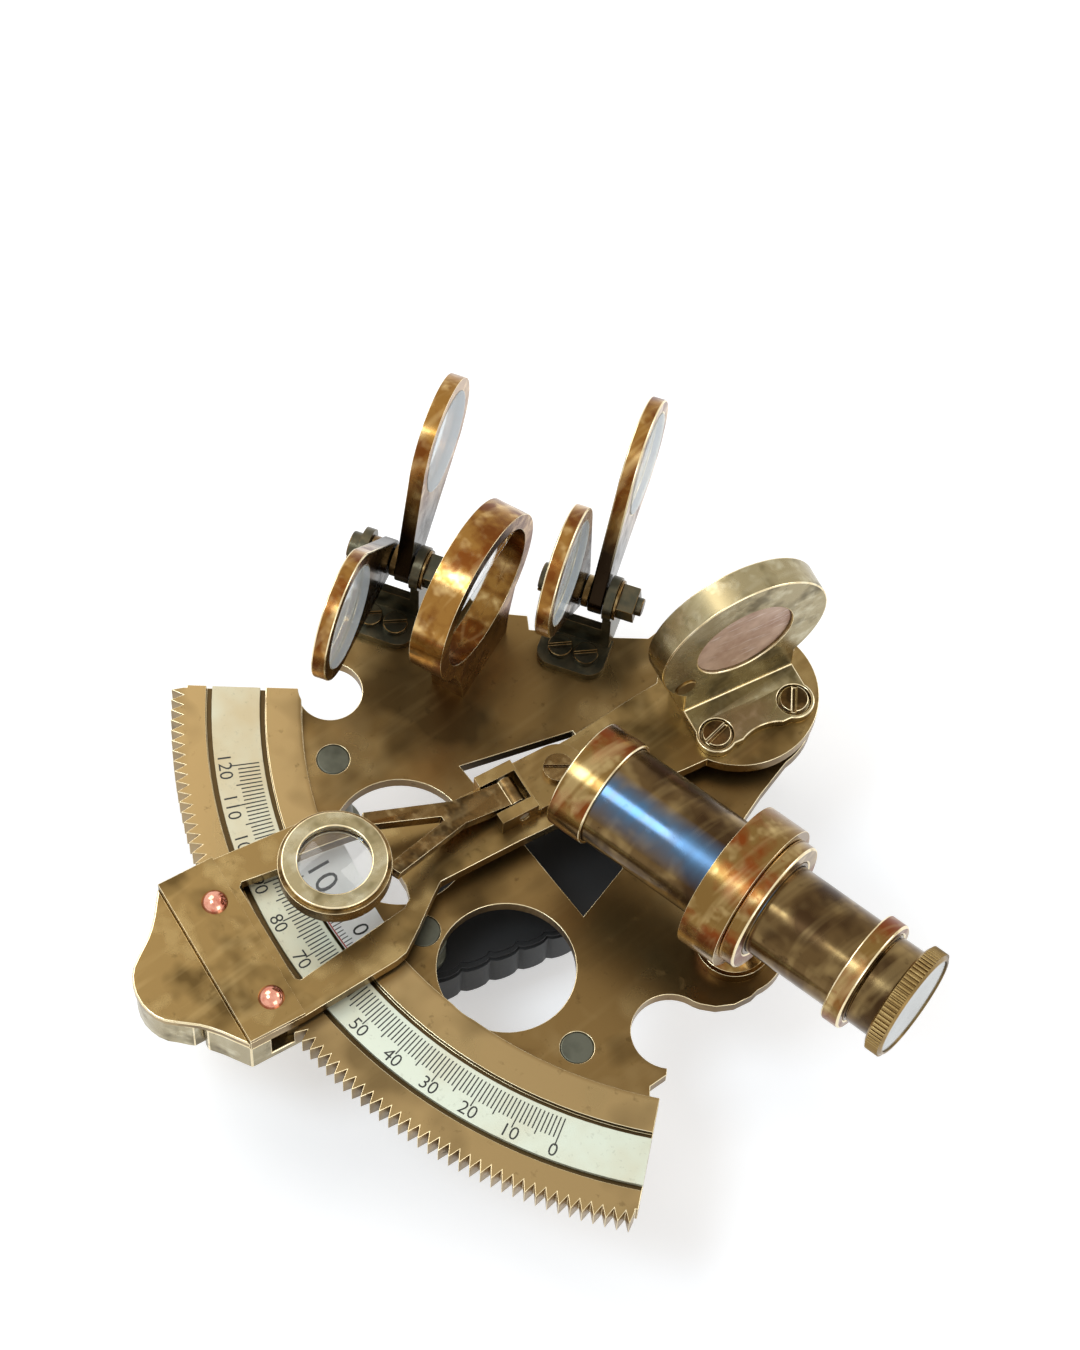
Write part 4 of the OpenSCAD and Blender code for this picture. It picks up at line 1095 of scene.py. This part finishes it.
@dataclass
class IndexArm:
    """The index arm with its vernier, arbor and reading window."""

    vernier_radius: float = 66.3
    vernier_lines: int = 31
    vernier_step_deg: float = 0.49
    line_inset: float = 0.25
    # Short, middle and long lines, and their width
    line_mm: tuple[float, float, float, float] = (1.0, 1.3, 1.7, 0.13)
    figures: dict[str, float] = field(default_factory=lambda: {"10": -4.7, "0": 5.0})
    figure_mm: float = 3.3
    figure_radius: float = 63.0
    # Red edge: dashes so close that they join to one line
    red_dashes: int = 80
    red_first_deg: float = 7.2
    red_step_deg: float = 0.18
    red_inset: float = 0.05
    red_mm: tuple[float, float, float, float] = (0.16, 0.16, 0.16, 0.22)
    plate_top: float = field(default_factory=lambda: top_mm("vernier_plate"))

    def build(self) -> None:
        """Builds the arm and what turns with it."""
        Piece("index_arm", Finish.ARM, 0.18, Finish.EDGE).build()
        Piece("arbor", Finish.BRIGHT, 0.1).build()
        for node in ("arbor_washer", "arbor_nut"):
            Piece(node, Finish.STEEL, 0.08).build()
        Piece("vernier_plate", Finish.IVORY, 0.0).build()
        self.divide()

    def divide(self) -> None:
        """Draws the vernier's lines, its figures and the red edge along them."""
        span = (self.vernier_lines - 1) * self.vernier_step_deg / 2
        lines = Divisions(
            self.vernier_radius - self.line_inset, self.vernier_lines, ARM_REST_DEG + span,
            -self.vernier_step_deg, self.plate_top + INK_RISE, *self.line_mm,
            outwards=-1.0).build("vernier_lines", Finish.INK)
        height = self.plate_top + FIGURE_RISE
        numbers = [
            figure(text, self.figure_mm, arm_place(across, self.figure_radius, height),
                   Finish.INK, "vernier_" + text)
            for text, across in self.figures.items()]
        marks = join("vernier_marks", [lines, *numbers])
        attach(marks, body_of_node("vernier_plate"))
        edge = Divisions(
            self.vernier_radius - self.red_inset, self.red_dashes, ARM_REST_DEG + self.red_first_deg,
            -self.red_step_deg, self.plate_top + 2 * INK_RISE, *self.red_mm,
            outwards=-1.0).build("vernier_red_edge", Finish.RED)
        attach(edge, body_of_node("vernier_plate"))


@dataclass
class RackClamp:
    """The riveted clamp at the end of the arm, with its pawl, spring and thumb tail."""

    spring_turns: float = 5.0
    spring_radius: float = 1.15
    spring_outer: float = 88.4
    spring_length: float = 2.5
    spring_height: float = 22.4
    wire: float = 0.2

    def build(self) -> None:
        """Builds the clamp."""
        Piece("clamp_cover", Finish.ARM, 0.22, Finish.EDGE).build()
        Piece("clamp_body", Finish.MIRROR_RING, 0.2, Finish.EDGE).build()
        Piece("tail_plate", Finish.ARM, 0.25, Finish.EDGE).build()
        Piece("rack_pawl", Finish.MIRROR_RING, 0.12, Finish.EDGE).build()
        Piece("clamp_rivets", Finish.COPPER, 0.0).build()
        self.spring()

    def spring(self) -> None:
        """Winds the pawl spring between its peg and the pocket's end."""
        inward = Matrix.Rotation(math.radians(ARM_REST_DEG), 3, "Z") @ Vector((0, 1, 0))
        start = arm_point(0.0, self.spring_outer, self.spring_height)
        coil = Coil(self.spring_radius, self.wire, self.spring_length, self.spring_turns).build(
            "pawl_coil", Finish.STEEL, axis_place(start, inward))
        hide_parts("pawl_spring")
        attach(coil, body_of_node("pawl_spring"))


@dataclass
class Magnifier:
    """The hinged reading glass over the vernier."""

    across: float = -1.2
    reach: float = 63.3
    height: float = 32.7
    glass_radius: float = 5.48
    thick: float = 2.0
    sag: float = 0.4

    def build(self) -> None:
        """Builds the bracket, the wishbone and the glass."""
        Piece("magnifier_bracket", Finish.ARM, 0.18, Finish.EDGE).build()
        Piece("magnifier_screw", Finish.HINGE, 0.12, Finish.EDGE).build()
        Piece("magnifier_pin", Finish.STEEL, 0.08).build()
        Piece("magnifier_arm", Finish.HINGE, 0.2, Finish.EDGE).build()
        Piece("magnifier_retainer", Finish.MIRROR_RING, 0.2, Finish.EDGE).build()
        lens("magnifier_lens", self.glass_radius, self.thick, self.sag,
             arm_place(self.across, self.reach, self.height))


@dataclass
class Mirrors:
    """The index mirror on the arm and the half silvered horizon mirror on the plate."""

    def build(self) -> None:
        """Builds both mirrors."""
        Piece("index_mirror_frame", Finish.MIRROR_RING, 0.3, Finish.EDGE).build()
        Piece("index_mirror_glass", Finish.MIRROR, 0.1).build()
        Piece("index_mirror_backing", Finish.PAINT, 0.05).build()
        Piece("index_mirror_rivet", Finish.ARM, 0.15).build()
        Piece("index_mirror_screws", Finish.HINGE, 0.12, Finish.EDGE).build()
        Piece("horizon_frame", Finish.BRIGHT, 0.3, Finish.EDGE).build()
        Piece("horizon_clear_glass", Finish.LENS, 0.05).build()
        Piece("horizon_mirror_glass", Finish.MIRROR, 0.05).build()
        Piece("horizon_screws", Finish.ARM, 0.1).build()


@dataclass
class Shades:
    """Two bolts on blackened brackets, each with two swinging shades."""

    bolts: dict[str, tuple[float, float, float]] = field(default_factory=lambda: {
        "1": (-43.25, -26.8, 33.0), "2": (-22.95, -8.8, 33.0)})
    sides: tuple[str, ...] = ("front", "back")
    # Distances from the bolt between which the heat stain fades, on the faces and on the edges
    stain_mm: tuple[float, float] = (17.0, 8.0)
    edge_stain_mm: tuple[float, float] = (15.0, 6.0)
    fixed: dict[str, Finish] = field(default_factory=lambda: {
        "shade_brackets": Finish.BLACKENED, "shade_bolts": Finish.BLACKENED,
        "shade_nuts": Finish.BLACKENED, "shade_washers": Finish.HINGE, "shade_screws": Finish.BLACKENED})

    def build(self) -> None:
        """Builds the brackets and all four shades."""
        for node, finish in self.fixed.items():
            Piece(node, finish, 0.16, Finish.HINGE).build()
        for number, bolt in self.bolts.items():
            heated = replace(Finish.BRIGHT.value, dark_at=bolt, dark_mm=self.stain_mm)
            # Edge finish of the shades: partly rubbed metal, partly painted highlight, darker near the bolt
            wear_and_highlight = replace(Finish.EDGE.value, dark_at=bolt, dark_mm=self.edge_stain_mm)
            ring_finish = heated.make(f"shade_ring_{number}")
            edge_finish = wear_and_highlight.make(f"shade_edge_{number}")
            for side in self.sides:
                ring = Piece(f"shade_{number}_{side}_ring", Finish.BRIGHT, 0.22, Finish.EDGE, own=ring_finish)
                ring.build().data.materials[1] = edge_finish
                Piece(f"shade_{number}_{side}_glass", Finish.SHADE_GLASS, 0.04).build()


@dataclass
class Studio:
    """The photograph's camera, a white table, an even white surround and soft lamps."""

    # Camera in the row frame: place in metres, where it looks from, roll and lens
    eye: tuple[float, float, float] = (0.17590, -0.19782, 0.52074)
    azimuth_deg: float = 47.64
    elevation_deg: float = 61.9
    roll_deg: float = 3.81
    lens_mm: float = 107.1
    sensor_mm: float = 36.0
    # Table: half its width and its drop below the feet in metres, whiteness and own glow
    floor_half: float = 1.6
    floor_drop: float = 0.0004
    floor_white: float = 0.8
    floor_glow: float = 0.44
    # Strength of the surround as a light; the camera and reflections see it as white
    ambient: float = 0.4
    aim: tuple[float, float, float] = (0.0, -0.03, 0.02)

    def camera(self) -> None:
        """Places the camera of the photograph."""
        azimuth = math.radians(self.azimuth_deg)
        elevation = math.radians(self.elevation_deg)
        roll = math.radians(self.roll_deg)
        forward = Vector((-math.sin(azimuth) * math.cos(elevation),
                          math.cos(azimuth) * math.cos(elevation), -math.sin(elevation)))
        level = Vector((math.cos(azimuth), math.sin(azimuth), 0.0))
        upright = level.cross(forward)
        right = level * math.cos(roll) + upright * math.sin(roll)
        up = right.cross(forward)
        data = bpy.data.cameras.new("photograph")
        data.lens = self.lens_mm
        data.sensor_width = self.sensor_mm
        data.sensor_fit = "AUTO"
        data.clip_start = 0.01
        camera = bpy.data.objects.new("photograph", data)
        turn = Matrix((right, up, -forward)).transposed().to_4x4()
        camera.matrix_world = Matrix.Translation(Vector(self.eye)) @ turn
        bpy.context.scene.collection.objects.link(camera)
        bpy.context.scene.camera = camera

    def world(self) -> None:
        """Lights the scene evenly and shows white behind it."""
        world = bpy.data.worlds.new("studio")
        bpy.context.scene.world = world
        world.use_nodes = True
        world.node_tree.nodes.clear()
        graph = Graph(world.node_tree)
        path = graph.node("ShaderNodeLightPath")
        seen = (Value(graph, path.outputs["Is Camera Ray"]) + Value(graph, path.outputs["Is Glossy Ray"])
                + Value(graph, path.outputs["Is Transmission Ray"])) > 0.5
        strength = self.ambient + seen * (1.0 - self.ambient)
        light = graph.node("ShaderNodeBackground", None, {"Color": (1.0, 1.0, 1.0), "Strength": strength})
        graph.node("ShaderNodeOutputWorld", None, {"Surface": light.outputs[0]})

    def floor(self) -> None:
        """Lays the table top; it stays white for the camera and keeps the soft shadow."""
        half = self.floor_half
        mesh = bpy.data.meshes.new("table_top")
        mesh.from_pydata([(-half, -half, 0), (half, -half, 0), (half, half, 0), (-half, half, 0)], [],
                         [(0, 1, 2, 3)])
        obj = bpy.data.objects.new("table_top", mesh)
        bpy.context.scene.collection.objects.link(obj)
        shader = Shader("table_white")
        white = (self.floor_white,) * 3
        obj.data.materials.append(shader.surface({
            "Base Color": white, "Roughness": 0.9, "Specular IOR Level": 0.0,
            "Emission Color": (1.0, 1.0, 1.0), "Emission Strength": self.floor_glow}))
        obj.location.z = -self.floor_drop

    def lamp(self, name: str, place: tuple[float, float, float], power: float, size: float,
             colour: Colour = (1.0, 1.0, 1.0)) -> None:
        """Hangs one soft square lamp that faces the instrument.

        Args:
            name: Lamp name.
            place: Where it hangs, in metres.
            power: Watts.
            size: Edge of the lamp in metres.
            colour: Colour of its light.
        """
        data = bpy.data.lights.new(name, "AREA")
        data.energy = power
        data.size = size
        data.color = colour
        lamp = bpy.data.objects.new(name, data)
        lamp.location = place
        aim = Vector(self.aim) - Vector(place)
        lamp.rotation_euler = aim.to_track_quat("-Z", "Y").to_euler()
        bpy.context.scene.collection.objects.link(lamp)

    def build(self) -> None:
        """Sets up camera, surround, table and lamps."""
        self.camera()
        self.world()
        self.floor()
        self.lamp("window", (-0.15, -0.40, 0.74), power=1.7, size=0.26, colour=(0.72, 0.86, 1.0))
        self.lamp("key", (-0.6, -0.1, 0.7), power=2.6, size=0.5, colour=(1.0, 0.97, 0.92))
        self.lamp("back", (0.25, 0.75, 0.5), power=2.2, size=0.5)
        self.lamp("side", (0.75, -0.1, 0.35), power=1.4, size=0.4)
        bpy.context.scene.view_settings.view_transform = "Standard"


def main() -> None:
    """Builds every sub-assembly in order."""
    logging.basicConfig(level=logging.INFO, format="%(message)s")
    for part in (Limb(), Telescope(), IndexArm(), RackClamp(), Magnifier(), Mirrors(), Shades(), Studio()):
        LOG.info("building %s", type(part).__name__)
        part.build()


if __name__ == "__main__":
    main()
